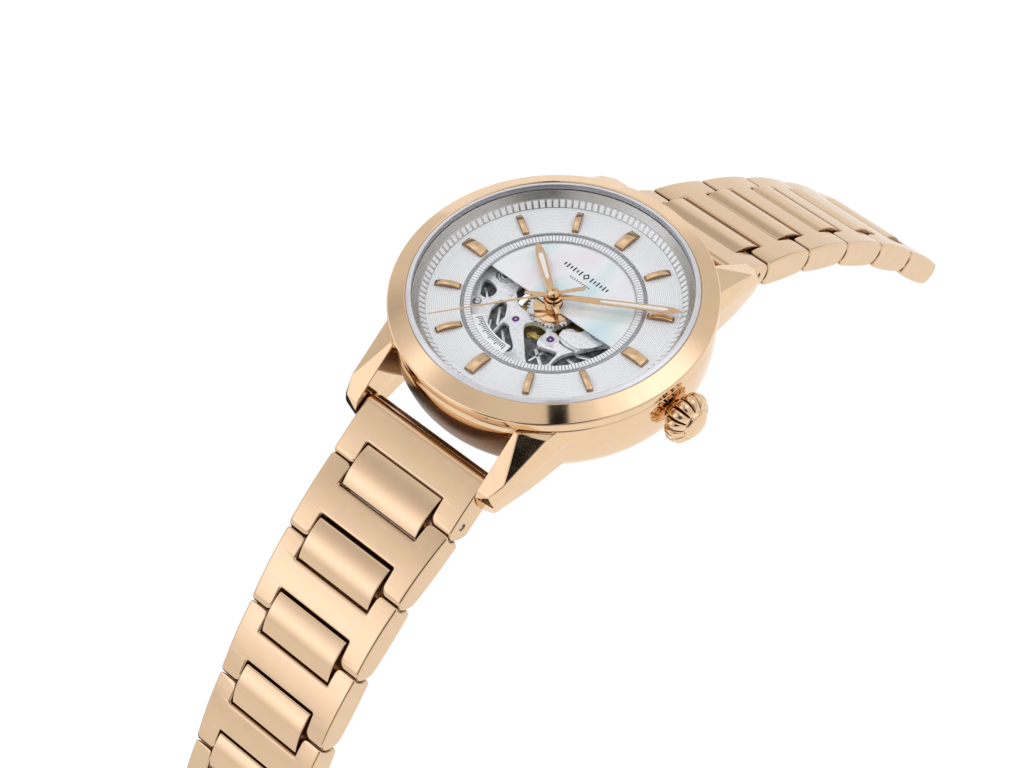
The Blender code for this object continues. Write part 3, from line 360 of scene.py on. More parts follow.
def hull(points):
    bm = bmesh.new()
    for p in points:
        bm.verts.new(p)
    bmesh.ops.convex_hull(bm, input=bm.verts)
    bmesh.ops.delete(bm, geom=[v for v in bm.verts if not v.link_faces], context='VERTS')
    bmesh.ops.dissolve_limit(bm, angle_limit=radians(2), verts=bm.verts, edges=bm.edges)
    bm.verts.index_update()
    data = [tuple(v.co) for v in bm.verts], [tuple(v.index for v in f.verts) for f in bm.faces]
    bm.free()
    return data

def blob(points, n=8):
    out, k = [], len(points)
    for i in range(k):
        p0, p1, p2, p3 = (points[(i + q - 1) % k] for q in range(4))
        for j in range(n):
            t = j / n
            out.append(tuple(0.5 * (2 * b + (c - a) * t + (2 * a - 5 * b + 4 * c - d) * t * t + (3 * b - a - 3 * c + d) * t ** 3)
                             for a, b, c, d in zip(p0, p1, p2, p3)))
    return out

def gear(teeth, pitch_r, depth=0.11, phase=0.0):
    """Rounded-tooth outline."""
    out = []
    for k in range(teeth):
        for f, r in ((-0.22, -0.55), (-0.12, 0.75), (0.0, 1.0), (0.12, 0.75), (0.22, -0.55), (0.5, -1.0)):
            a = 2 * pi * (k + f + phase) / teeth
            out.append(((pitch_r + depth * r) * cos(a), (pitch_r + depth * r) * sin(a)))
    return out

def windows(r0, r1, count, web, n=16, phase=0.0):
    out = []
    for k in range(count):
        a0 = phase + 360.0 * k / count
        d1, d0 = degrees(web / 2 / r1), degrees(web / 2 / r0)
        out.append(arc(r1, a0 + d1, a0 + 360.0 / count - d1, n) + arc(r0, a0 + 360.0 / count - d0, a0 + d0, 6))
    return out

def join(*datas):
    """Several closed bodies in one mesh."""
    verts, faces = [], []
    for v, f in datas:
        k = len(verts)
        verts += list(v)
        faces += [tuple(k + i for i in q) for q in f]
    return verts, faces

def turn(data, a, at=(0, 0)):
    c, s = cos(radians(a)), sin(radians(a))
    return [(x * c - y * s + at[0], x * s + y * c + at[1], z) for x, y, z in data[0]], data[1]

def to_bmesh(data, scale=1.0):
    bm = bmesh.new()
    vs = [bm.verts.new([c * scale for c in p]) for p in data[0]]
    for f in data[1]:
        try:
            bm.faces.new([vs[i] for i in f])
        except ValueError:
            pass
    bmesh.ops.recalc_face_normals(bm, faces=bm.faces)
    return bm

def bevelled(data, width, segments=3, angle=30.0, only=None):
    """Round every edge sharper than angle; returns mesh data in millimetres."""
    bm = to_bmesh(data)
    edges = [e for e in bm.edges if len(e.link_faces) == 2 and e.calc_face_angle(0) > radians(angle) and (only is None or only(e))]
    bmesh.ops.bevel(bm, geom=edges, offset=width, segments=segments, profile=0.5, affect='EDGES', clamp_overlap=True)
    bm.verts.index_update()
    out = [tuple(v.co) for v in bm.verts], [tuple(v.index for v in f.verts) for f in bm.faces]
    bm.free()
    return out

def to_mesh(name, data, smooth=32):
    bm = to_bmesh(data, MM)
    if bm.calc_volume(signed=True) < 0:
        bmesh.ops.reverse_faces(bm, faces=bm.faces)
    me = bpy.data.meshes.new(name)
    bm.to_mesh(me)
    bm.free()
    me.shade_smooth()
    me.set_sharp_from_angle(angle=radians(smooth))
    return me

def solid(name, data, smooth=32):
    o = bpy.data.objects.new(name, to_mesh(name, data, smooth))
    scene.collection.objects.link(o)
    return o

def boolean(base, tools, op='DIFFERENCE', solver='MANIFOLD'):
    """Boolean of closed mesh data against a list of closed mesh data; returns mesh data."""
    o = solid("work", base)
    made = []
    for d in tools:
        t = solid("work_tool", d)
        made.append(t)
        b = o.modifiers.new("b", 'BOOLEAN')
        b.operation, b.solver, b.object = op, solver, t
    dg = bpy.context.evaluated_depsgraph_get()
    me = bpy.data.meshes.new_from_object(o.evaluated_get(dg))
    out = [tuple(v.co / MM) for v in me.vertices], [tuple(p.vertices) for p in me.polygons]
    for x in made + [o]:
        bpy.data.objects.remove(x, do_unlink=True)
    return out

def piece(name, data, mat, body, nodes=(), smooth=32, at=(0, 0, 0), rot=(0, 0, 0), weighted=True, assign=None):
    """A visible piece: mesh data in its own frame, placed in the row frame, riding on a CAD body."""
    o = solid(name, data, smooth)
    mats = mat if isinstance(mat, (list, tuple)) else [mat]
    for k in mats:
        o.data.materials.append(M[k])
    if assign:
        for p in o.data.polygons:
            p.material_index = assign(p, o.data)
    o.location = [c * MM for c in at]
    o.rotation_euler = [radians(a) for a in rot]
    if weighted:
        w = o.modifiers.new("weighted", 'WEIGHTED_NORMAL')
        w.keep_sharp, w.weight = True, 60
    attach(o, body)
    if nodes:
        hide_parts(*nodes)
    return o

# ================================================================ case
def fillet_profile(pts, r=0.06, n=3):
    """Round the corners of a closed (r, z) outline."""
    out, k = [], len(pts)
    for i in range(k):
        p, a, b = Vector(pts[i]), Vector(pts[i - 1]), Vector(pts[(i + 1) % k])
        u, v = (a - p), (b - p)
        if u.length < 1e-6 or v.length < 1e-6:
            out.append(tuple(p)); continue
        c = min(r, u.length * 0.4, v.length * 0.4)
        ang = u.angle(v)
        if ang > radians(172):
            out.append(tuple(p)); continue
        p0, p1 = p + u.normalized() * c, p + v.normalized() * c
        for j in range(n + 1):
            t = j / n
            out.append(tuple(p0 * (1 - t) ** 2 + p * 2 * t * (1 - t) + p1 * t * t))
    return out

MID = [(15.8, 0.8), (16.35, 0.8), (17.0, 1.35), (17.42, 2.2), (17.70, 3.2), (17.90, 4.3), (18.02, 5.4), (18.07, 6.5), (18.05, 7.3), (17.95, 7.85), (17.78, 8.12),
       (17.5, 8.38), (15.2, 8.38), (15.2, 1.42), (15.8, 1.42)]

def lug(sx, sy):
    """Faceted lug: sloping top, narrow bevel beside it, broad outer facet and a flank that runs back along the case."""
    inner = [(9.1, 13.0, 7.9), (9.1, 15.9, 8.12), (9.1, 21.85, 3.62), (9.1, 22.3, 2.7), (9.1, 21.8, 0.35), (9.1, 18.5, 0.15), (9.1, 13.0, 1.2)]
    top = [(9.6, 15.9, 8.12), (11.56, 20.2, 4.87), (10.75, 21.8, 3.66)]
    bevel = [(12.25, 14.2, 7.64), (12.5, 12.6, 8.02)]
    flank = [(13.3, 11.9, 6.2), (13.0, 11.9, 2.8), (11.5, 21.4, 2.75), (11.25, 21.7, 2.1), (12.1, 16.5, 1.5), (11.0, 21.3, 0.55), (11.5, 17.5, 0.9), (11.2, 13.0, 1.5)]
    return bevelled(hull([(sx * x, sy * y, z) for x, y, z in inner + top + bevel + flank]), 0.11, 4, 6)

bar_holes = [rod((sx * 8.6, sy * BAR[0], BAR[1]), (sx * 9.9, sy * BAR[0], BAR[1]), 0.48) for sx in (1, -1) for sy in (1, -1)]
case = boolean(lathe(fillet_profile(MID, 0.05)), [lug(1, 1), lug(-1, 1), lug(1, -1), lug(-1, -1), rod((16.2, 0, CROWN_Z), (18.95, 0, CROWN_Z), 1.1, 64, 0.06)], 'UNION')
case = boolean(case, [rod((14, 0, CROWN_Z), (20, 0, CROWN_Z), 0.75, 48)] + bar_holes)
# painted shade: faces of the case wall between the lugs take the near-black recess gold
def in_painted_recess(p, me):
    c = p.center / MM
    return 1 if abs(c.x) < 10.9 and abs(c.y) > 11.5 and 15.7 < hypot(c.x, c.y) < 18.1 and c.z < 6.6 and abs(p.normal.x) < 0.75 else 0
piece("case_middle", case, ["gold", "painted_recess_shade"], "head", ["mid_case"], 28, assign=in_painted_recess)

BEZEL = [(15.75, 8.42), (18.16, 8.42), (18.30, 8.56), (18.35, 8.66), (18.35, 9.46), (18.22, 9.70), (16.34, 10.70), (16.22, 10.62), (16.22, 10.08), (15.75, 10.08)]
piece("bezel_ring", lathe(fillet_profile(BEZEL, 0.07, 4)), "gold", "head", ["bezel"], 28)

def dome(r, z, h):
    return z + h * (1 - (r / 15.9) ** 2)
outer = [(r, dome(r, 10.86, 0.75)) for r in (0, 2, 4, 6, 8, 10, 12, 13.5, 14.7, 15.45)]
inner = [(r, 10.12 + 0.80 * (1 - (r / 16.19) ** 2)) for r in (15.6, 14, 12, 10, 8, 6, 4, 2, 0)]
# the outer rim of the crystal takes the grey-lilac painted reflection
piece("crystal_dome", lathe(outer + [(15.62, 10.87), (16.12, 10.66), (16.19, 10.60), (16.19, 10.12)] + inner, N, False), ["glass", "edge"], "head", ["crystal"], 20, weighted=False,
      assign=lambda p, me: 1 if all(hypot(*me.vertices[i].co.xy) > 15.50 * MM for i in p.vertices) else 0)

# flange under the crystal, in two steps, with its raised minute blocks
FL = [(14.12, 8.62), (14.82, 9.30), (14.90, 9.30), (15.50, 10.05), (15.66, 10.05), (15.66, 8.62)]
piece("flange", lathe(fillet_profile(FL, 0.03, 2)), "rehaut", "head", ["rehaut_ring"], 28)
def block_on_slope(a, half, r0, z0, r1, z1, lift):
    """One raised block on a conical ring, between two radii."""
    nx, nz = -(z1 - z0), (r1 - r0)
    L = hypot(nx, nz)
    nx, nz = nx / L, nz / L
    out = []
    for r, z in ((r0, z0), (r1, z1)):
        for h, w in ((-0.03, 1.0), (lift, 0.80)):
            for s in (-1, 1):
                rr, zz = r + nx * h + (0.0 if h < 0 else (0.05 if r == r0 else -0.05) * (r1 - r0)), z + nz * h + (0.0 if h < 0 else (0.05 if r == r0 else -0.05) * (z1 - z0))
                q = a + s * half * w
                out.append((rr * cos(q), rr * sin(q), zz))
    f = [(0, 1, 5, 4), (2, 3, 7, 6), (0, 2, 3, 1), (4, 5, 7, 6), (0, 4, 6, 2), (1, 5, 7, 3)]
    return out, f
piece("minute_blocks", join(*[block_on_slope(2 * pi * k / 120, 0.76 * pi / 120, 14.16, 8.66, 14.80, 9.28, 0.07) for k in range(120)]), "white", "head", (), 20, weighted=False)

# dial ring: real turned grooves between the two serrated rings
prof = [(9.72, 8.2), (15.12, 8.2), (15.12, 8.6), (13.86, 8.6), (13.82, 8.575), (13.76, 8.575), (13.72, 8.6)]
GROOVE = 2 * pi / (20.0 * DIAL_LINES) / MM     # the dial material's darker lines, a painted shade, lie in these grooves
for k in range(int(13.62 / GROOVE), int(10.55 / GROOVE), -1):
    prof += [(k * GROOVE + 0.055, 8.6), (k * GROOVE, 8.582), (k * GROOVE - 0.055, 8.6)]
prof += [(10.44, 8.6), (10.32, 8.6), (10.32, 8.28), (9.72, 8.28)]
piece("dial_ring", lathe(prof, 200), "dial", "head", ["dial"], 24, weighted=False)
CH = [(9.06, 8.31), (10.27, 8.31), (10.27, 8.62), (10.20, 8.66), (10.06, 8.66), (10.0, 8.56), (9.92, 8.53), (9.14, 8.50), (9.06, 8.44)]
piece("chapter_base", lathe(CH), "ring", "head", ["chapter_ring"], 24)
piece("chapter_blocks", join(*[block_on_slope(2 * pi * k / 160, 0.80 * pi / 160, 9.14, 8.50, 9.90, 8.53, 0.07) for k in range(160)]), "white", "head", (), 20, weighted=False)

# mother-of-pearl plate with a polished edge along its straight side
PE = -0.4
ae = degrees(atan2(0.4, sqrt(9.65 ** 2 - 0.16)))
be = degrees(atan2(0.4, sqrt(1.0 - 0.16)))
piece("pearl_half_plate", bevelled(prism([arc(9.65, -ae, 180 + ae, 120) + arc(1.0, 180 + be, -be, 24)], 8.03, 8.27), 0.03, 2, 50), "pearl", "head", ["pearl_plate"])
# abstract printed mark in place of the dial's words: an open lozenge over a row of short strokes
def lozenge(w, h, cx, cy):
    return [(cx - w, cy), (cx, cy - h), (cx + w, cy), (cx, cy + h)]
mark = [prism([lozenge(0.42, 0.50, 0, 5.30), lozenge(0.24, 0.28, 0, 5.30)], 8.272, 8.288)]
mark += [cuboid(sx * (0.80 + 0.46 * k) - 0.085, sx * (0.80 + 0.46 * k) + 0.085, 5.30 - h, 5.30 + h, 8.272, 8.288) for sx in (-1, 1) for k, h in enumerate((0.34, 0.22, 0.34, 0.22, 0.34, 0.22))]
mark += [cuboid(-1.35 + 0.30 * k - 0.05, -1.35 + 0.30 * k + 0.05, 4.22 - 0.12, 4.22 + 0.12, 8.272, 8.288) for k in range(10)]
piece("dial_mark", join(*mark), "ink", "head", (), weighted=False)
# arched plate at 6 o'clock, with fine graduations
def sector(r0, r1, a0, a1, z0, z1, n=40):
    return prism([arc(r1, a0, a1, n) + arc(r0, a1, a0, n)], z0, z1)
piece("scale_plate", bevelled(sector(7.75, 9.12, 233, 276, 8.34, 8.53), 0.04, 2, 50), "white", "head", ())
piece("scale_marks", join(*[sector(8.12, 8.52 if k % 4 else 8.78, 236.5 + 36 * k / 20 - 0.34, 236.5 + 36 * k / 20 + 0.34, 8.525, 8.545, 2) for k in range(21)]
                          + [sector(8.0, 8.06, 236.0, 273.0, 8.525, 8.545, 40)]), "ink", "head", (), weighted=False)

def index(hour):
    """Applied marker, arched along its length with crisp flanks."""
    w = 0.62 if hour % 3 == 0 else 0.36
    n = 16
    prof = []
    for i in range(n + 1):
        t = i / n
        prof.append((10.50 + 3.0 * t, DIAL_Z + 0.17 + 0.33 * sin(pi * t) ** 0.8 if 0 < t < 1 else DIAL_Z + 0.17))
    prof = [(10.50, DIAL_Z + 0.012)] + prof + [(13.50, DIAL_Z + 0.012)]
    m = len(prof)
    v = [(r, -w, z) for r, z in prof] + [(r, w, z) for r, z in prof]
    f = [tuple(range(m)), tuple(range(2 * m - 1, m - 1, -1))] + [(i, (i + 1) % m, m + (i + 1) % m, m + i) for i in range(m)]
    return turn(bevelled((v, f), 0.045, 2, 50), 90 - 30 * hour)
# painted shade: the flanks and ends of each marker take the darker gap gold
def marker_faces(p, me):
    return 1 if abs(p.normal.z) < 0.93 else 0
piece("hour_markers", join(*[index(h) for h in range(12)]), ["gold_hand", "painted_gap_shade"], "head", ["hour_indices"], 30, assign=marker_faces)

# ================================================================ back
notches = [turn(cuboid(-1.2, 1.2, 14.7, 16.6, -0.4, 0.3), a) for a in range(0, 360, 60)]
CB = [(12.64, 0.0), (15.4, 0.0), (16.1, 0.3), (16.2, 0.45), (16.2, 0.76), (15.16, 0.76), (15.16, 1.45), (12.0, 1.45), (12.0, 0.93), (12.64, 0.93)]
piece("back_ring", boolean(lathe(fillet_profile(CB, 0.04, 2), 192), notches), "back_steel", "head", ["case_back"], 28)
piece("back_window", lathe([(0, 0.0), (12.3, 0.0), (12.6, 0.10), (12.6, 0.88), (0, 0.88)], 192, False), "glass", "head", ["back_crystal"], 20)
def screw(x, y, z0, z1, r, up_z=True, ang=0.0):
    """Slotted screw head."""
    b = lathe([(0, z0), (r, z0), (r, z1 - 0.04), (r - 0.04, z1), (0, z1)] if up_z else [(0, z1), (r, z1), (r, z0 + 0.04), (r - 0.04, z0), (0, z0)], 40, False)
    s = turn(cuboid(-r * 1.2, r * 1.2, -0.05, 0.05, z1 - 0.09, z1 + 0.1) if up_z else cuboid(-r * 1.2, r * 1.2, -0.05, 0.05, z0 - 0.1, z0 + 0.09), ang)
    return turn(boolean(b, [s]), 0, (x, y))

# ================================================================ movement
OPENINGS = [
    blob([(-8.85, -1.75), (-8.1, -1.55), (-7.2, -1.75), (-6.6, -2.2), (-6.45, -3.0), (-6.85, -3.7), (-7.6, -3.75), (-8.05, -3.25), (-8.5, -2.6)]),
    blob([(-5.35, -2.9), (-4.6, -2.75), (-4.1, -3.2), (-3.35, -4.3), (-3.3, -4.9), (-3.0, -6.1), (-2.9, -8.2), (-4.1, -8.0), (-3.9, -6.9), (-4.6, -5.6), (-5.3, -4.4)]),
    blob([(-2.9, -5.1), (-2.1, -5.0), (-1.5, -5.5), (0.4, -7.0), (0.2, -8.0), (-1.5, -8.5), (-2.6, -7.9), (-2.75, -6.4)]),
    blob([(-0.9, -3.75), (0.1, -2.6), (1.5, -2.8), (1.62, -3.9), (2.1, -4.9), (3.6, -4.55), (4.5, -4.35), (4.75, -5.4), (4.75, -6.4), (3.6, -7.3), (2.95, -7.55), (1.3, -6.1)]),
    blob([(5.6, -3.3), (6.3, -2.2), (7.2, -0.75), (8.05, 0.1), (8.9, -0.4), (8.7, -2.2), (7.6, -4.6), (6.2, -6.2), (5.15, -6.0), (5.05, -4.6)]),
    blob([(-4.9, 0.6), (-3.0, 0.8), (-2.85, -0.6), (-2.1, -2.1), (-3.4, -2.05), (-4.3, -1.35), (-5.0, -0.6)]),
    blob([(2.6, 0.5), (4.9, 0.3), (4.2, -0.6), (3.4, -0.75), (2.75, -1.5), (2.95, -2.45), (2.5, -2.75), (1.9, -2.3), (2.3, -0.6)]),
    blob([(3.2, -2.75), (4.5, -2.95), (6.0, -2.75), (5.75, -3.05), (4.5, -3.2), (3.4, -3.05)], 6),
]
ROUND = [circle(0.52, 40, -7.25, -4.7), circle(0.52, 40, -5.2, -6.7), circle(0.30, 32, -5.0, -1.65), circle(0.36, 32, -7.9, -5.4)]
pl = boolean(lathe([(10.7, 3.25), (11.65, 3.25), (11.65, 7.26), (11.6, 7.3), (10.7, 7.3)], 192), [rod((9.5, 0, CROWN_Z), (12.5, 0, CROWN_Z), 0.95, 40), cuboid(9.2, 12.5, -0.6, 2.6, 4.75, 5.6)])
top_plate = bevelled(prism([circle(10.72, 160)] + OPENINGS + ROUND[:2] + [circle(0.46, 40)], 6.72, 7.3), 0.05, 2, 55)
piece("main_plate", join(pl, top_plate), "plate", "head", ["mainplate"], 30)
# lower dark plate, seen through the openings, open in the middle for the wheels
relief = [prism([circle(10.6, 160), circle(4.4, 80), circle(0.2, 16, *PALLET), circle(0.2, 16, *BALANCE), circle(0.45, 24, *BARREL)], 6.50, 6.62)]
for cx, cy, rr in ((-7.0, -2.9, 0.5), (-4.6, -4.2, 0.45), (-3.8, -6.6, 0.38), (-1.9, -6.3, 0.55), (3.2, -5.6, 0.6), (2.4, -6.5, 0.35), (6.9, -2.9, 0.55), (6.1, -4.6, 0.4), (7.7, -1.2, 0.35), (-8.2, -2.3, 0.25)):
    relief.append(lathe([(rr * 0.45, 6.60), (rr, 6.60), (rr, 6.68), (rr - 0.05, 6.70), (rr * 0.45, 6.70)], 36))
    relief[-1] = turn(relief[-1], 0, (cx, cy))
piece("base_plate", join(*relief), "dark", "head", (), 30, weighted=False)
ribs = []
for x0_, y0_, x1_, y1_, w in ((-5.1, -3.3, -3.5, -5.4, 0.16), (-4.6, -5.3, -3.3, -7.2, 0.14), (-2.6, -5.6, -0.4, -7.4, 0.16), (2.0, -5.1, 4.2, -6.6, 0.2), (3.0, -4.9, 2.6, -6.9, 0.14), (5.6, -3.9, 7.4, -4.0, 0.2), (6.0, -2.9, 8.2, -1.9, 0.22), (5.6, -5.4, 6.6, -5.2, 0.16), (-8.3, -2.3, -7.0, -3.3, 0.14)):
    a = atan2(y1_ - y0_, x1_ - x0_)
    dx, dy = -sin(a) * w, cos(a) * w
    ribs.append(bevelled(prism([[(x0_ - dx, y0_ - dy), (x1_ - dx, y1_ - dy), (x1_ + dx, y1_ + dy), (x0_ + dx, y0_ + dy)]], 6.63, 6.705), 0.03, 2))
piece("base_ribs", join(*ribs), "steel", "head", (), 30)

def jewel(x, y, r, z=7.3):
    return turn(lathe([(0.05, z - 0.12), (r, z - 0.12), (r, z + 0.01), (r - 0.03, z + 0.025), (0.09, z + 0.0), (0.05, z - 0.05)], 40), 0, (x, y))
def setting(x, y, r, z=7.3):
    return turn(lathe([(r, z - 0.02), (r + 0.10, z - 0.02), (r + 0.10, z + 0.035), (r + 0.06, z + 0.06), (r, z + 0.03)], 40), 0, (x, y))
JB, JC, JA = (-2.2, -3.80), (2.67, -3.42), (-7.30, 0.08)
piece("jewels", join(jewel(*JB, 0.40), jewel(*JC, 0.43), jewel(*JA, 0.34, 7.42)), "jewel", "head", (), 30)
piece("jewel_boss", join(turn(lathe([(0.44, 7.28), (1.02, 7.28), (1.02, 7.36), (0.96, 7.40), (0.50, 7.40), (0.44, 7.36)], 64), 0, JC),
                         turn(lathe([(0.41, 7.28), (0.50, 7.28), (0.50, 7.33), (0.41, 7.33)], 40), 0, JB)), "steel_bright", "head", ())
shock = [turn(lathe([(0.36, 7.28), (0.52, 7.28), (0.52, 7.44), (0.48, 7.46), (0.36, 7.44)], 48), 0, JA),
         turn(lathe([(0.66, 7.28), (0.76, 7.28), (0.76, 7.40), (0.66, 7.40)], 48), 0, JA),
         turn(lathe([(1.00, 7.28), (1.16, 7.28), (1.16, 7.42), (1.10, 7.45), (1.00, 7.42)], 48), 0, JA)]
shock += [turn(cuboid(0.45, 1.08, -0.05, 0.05, 7.34, 7.42), a, JA) for a in (-90, 30, 150)]
piece("shock_setting", join(*shock), "steel_bright", "head", ())
piece("plate_screws", join(*[screw(x, y, 7.0, 7.36, r_, True, a) for x, y, r_, a in ((-7.25, -4.7, 0.42, 20), (-5.2, -6.7, 0.42, 70), (-5.0, -1.65, 0.24, 130), (6.9, 0.05 - 0.9, 0.0 + 0.30, 40))]), "steel", "head", ())
piece("cover_bridge", bevelled(prism([blob([(2.95, -1.75), (3.5, -1.35), (4.4, -0.75), (4.9, 0.15), (5.6, -0.15), (6.6, -0.35), (7.7, 0.2), (7.0, -1.4), (6.0, -2.45), (5.4, -2.62), (4.2, -2.6), (3.1, -2.45)], 6)], 7.32, 7.52), 0.06, 3, 50), "plate", "head", ())

def mesh_phase(teeth, centre, other, other_teeth, other_phase):
    a = atan2(centre[1] - other[1], centre[0] - other[0])
    return ((a + pi) / (2 * pi) * teeth + (a / (2 * pi) * other_teeth - other_phase) % 1.0 + 0.5) % 1.0
def pair(distance, wheel, pinion):
    return distance * wheel / (wheel + pinion), distance * pinion / (wheel + pinion)
def arbor(sections, n=24):
    prof = [(0, sections[0][0])]
    for (z0, r), (z1, _) in zip(sections[:-1], sections[1:]):
        prof += [(r, z0), (r, z1)]
    prof.append((0, sections[-1][0]))
    return lathe(prof, n, False)
TC, T3, T4, TL, TB, TCL = 96, 90, 120, 12, 120, 20
RC, R3P = pair(4.34, 8, 1)
R3, R4P = pair(4.34, 7.5, 1)
R4, REP = pair(hypot(*ESCAPE), 10, 1)
RB, RCP = pair(hypot(*BARREL), 6, 1)
def wheel(teeth, r, depth, z0, z1, spokes, r0, r1, web, phase=0.0):
    return bevelled(prism([gear(teeth, r, depth, phase)] + windows(r0, r1, spokes, web), z0, z1), 0.015, 1, 70)
piece("centre_wheel_gilt", join(bevelled(prism([gear(TC, RC, 0.10), circle(0.3, 32)] + windows(1.2, 3.2, 4, 0.45), 6.0, 6.2), 0.015, 1, 70),
                                lathe([(0.18, 5.05), (0.5, 5.05), (0.5, 6.3), (0.4, 6.3), (0.4, 9.75), (0.18, 9.75)], 48),
                                prism([gear(TCL, RCP, 0.09), circle(0.52, 32)], 5.25, 5.75)), "brass", "minute_train", ["center_wheel"])
piece("third_wheel_gilt", join(wheel(T3, R3, 0.09, 4.5, 4.7, 3, 0.9, 3.1, 0.45), arbor([(2.75, 0.12), (3.25, 0.14), (4.3, 0.45), (4.9, 0.2), (6.5, 0.12), (7.1, 0.12)]),
                               prism([gear(TL, R3P, 0.09, mesh_phase(TL, THIRD, (0, 0), TC, 0.0))], 5.85, 6.4)), "brass", "third_wheel", ["third_wheel"], at=(*THIRD, 0))
piece("fourth_wheel_gilt", join(wheel(T4, R4, 0.07, 3.3, 3.5, 4, 0.9, 3.4, 0.4), arbor([(2.8, 0.12), (3.2, 0.5), (3.9, 0.12), (10.35, 0.12)]),
                                prism([gear(TL, R4P, 0.09, mesh_phase(TL, (0, 0), THIRD, T3, 0.0))], 4.3, 4.9)), "brass", "seconds_train", ["fourth_wheel"])
def escape_outline():
    out = []
    for k in range(15):
        a = 2 * pi * k / 15
        for d, r in ((0.0, 2.1), (0.03, 2.1), (0.05, 1.75), (0.10, 1.55), (0.2, 1.48), (0.34, 1.5), (0.385, 1.75)):
            out.append((r * cos(a + d), r * sin(a + d)))
    return out
piece("escape_wheel_steel", join(prism([escape_outline()] + windows(0.6, 1.25, 4, 0.25), 4.0, 4.15), arbor([(2.75, 0.12), (3.12, 0.2), (6.5, 0.12), (7.1, 0.12)]),
                                 prism([gear(TL, REP, 0.06, mesh_phase(TL, ESCAPE, (0, 0), T4, 0.0))], 3.2, 3.75)), "steel_bright", "escape_wheel", ["escape_wheel"], at=(*ESCAPE, 0))
piece("spring_barrel", join(prism([gear(TB, RB - 0.03, 0.07, mesh_phase(TB, BARREL, (0, 0), TCL, 0.0)), circle(4.25, 96)], 5.35, 5.6),
                            lathe([(0, 3.7), (4.22, 3.7), (4.3, 3.78), (4.3, 5.66), (4.24, 5.72), (2.2, 5.72), (2.15, 5.66), (1.2, 5.66), (1.15, 5.72), (0, 5.72)], 128, False), arbor([(2.7, 0.4), (7.0, 0.4)], 32)),
      "brass", "barrel", ["barrel"], at=(*BARREL, 0))
e_dir = degrees(atan2(ESCAPE[1] - PALLET[1], ESCAPE[0] - PALLET[0]))
b_dir = degrees(atan2(BALANCE[1] - PALLET[1], BALANCE[0] - PALLET[0]))
fork = [polar(0.35, e_dir), polar(1.15, e_dir + 62), polar(1.32, e_dir + 50), polar(1.5, e_dir + 58), polar(1.25, e_dir + 72), polar(0.4, b_dir - 40),
        polar(1.2, b_dir - 9), polar(2.1, b_dir - 5), polar(2.1, b_dir - 2), polar(1.85, b_dir), polar(2.1, b_dir + 2), polar(2.1, b_dir + 5), polar(1.2, b_dir + 9), polar(0.4, b_dir + 40),
        polar(1.25, e_dir - 72), polar(1.5, e_dir - 58), polar(1.32, e_dir - 50), polar(1.15, e_dir - 62)]
piece("pallet_lever", join(bevelled(prism([fork], 3.98, 4.14), 0.02, 2, 60), arbor([(3.75, 0.2), (4.5, 0.12), (7.1, 0.12)])), "steel_bright", "pallet_fork", ["pallet_fork"], at=(*PALLET, 0))
rim = [bevelled(prism([circle(3.0, 128)] + windows(0.6, 2.6, 3, 0.4), 3.35, 3.65), 0.03, 2, 60), arbor([(2.75, 0.12), (3.25, 0.25), (3.8, 0.45), (4.3, 0.25), (6.5, 0.12), (7.1, 0.12)], 32)]
piece("balance_rim", join(*rim), "brass", "balance", ["balance_wheel"], at=(*BALANCE, 0))
def spiral(n=260):
    c = [(0.32 + 1.58 * i / n, 8 * pi * i / n) for i in range(n + 1)]
    return [((r + 0.03) * cos(t), (r + 0.03) * sin(t)) for r, t in c] + [((r - 0.03) * cos(t), (r - 0.03) * sin(t)) for r, t in c][::-1]
piece("balance_spring", prism([spiral()], 5.3, 5.5), "blued", "balance", ["hairspring"], at=(*BALANCE, 0))
piece("hour_wheel_steel", join(bevelled(prism([gear(38, 2.80, 0.17), circle(0.97, 48)], 7.5, 7.72), 0.015, 1, 70),
                               lathe([(0.46, 7.42), (0.99, 7.42), (0.99, 7.74), (0.46, 7.74)], 64)), "steel_bright", "hour_train", ["hour_wheel"])
piece("hour_collet", join(lathe(fillet_profile([(0.46, 7.75), (2.28, 7.75), (2.28, 7.90), (0.98, 7.92), (0.90, 8.10), (0.90, 8.40), (0.80, 8.44), (0.80, 8.60), (0.90, 8.64), (0.90, 8.80), (0.78, 8.84), (0.78, 9.04), (0.46, 9.04)], 0.03, 2), 96)),
      "gold_hand", "hour_train", ())

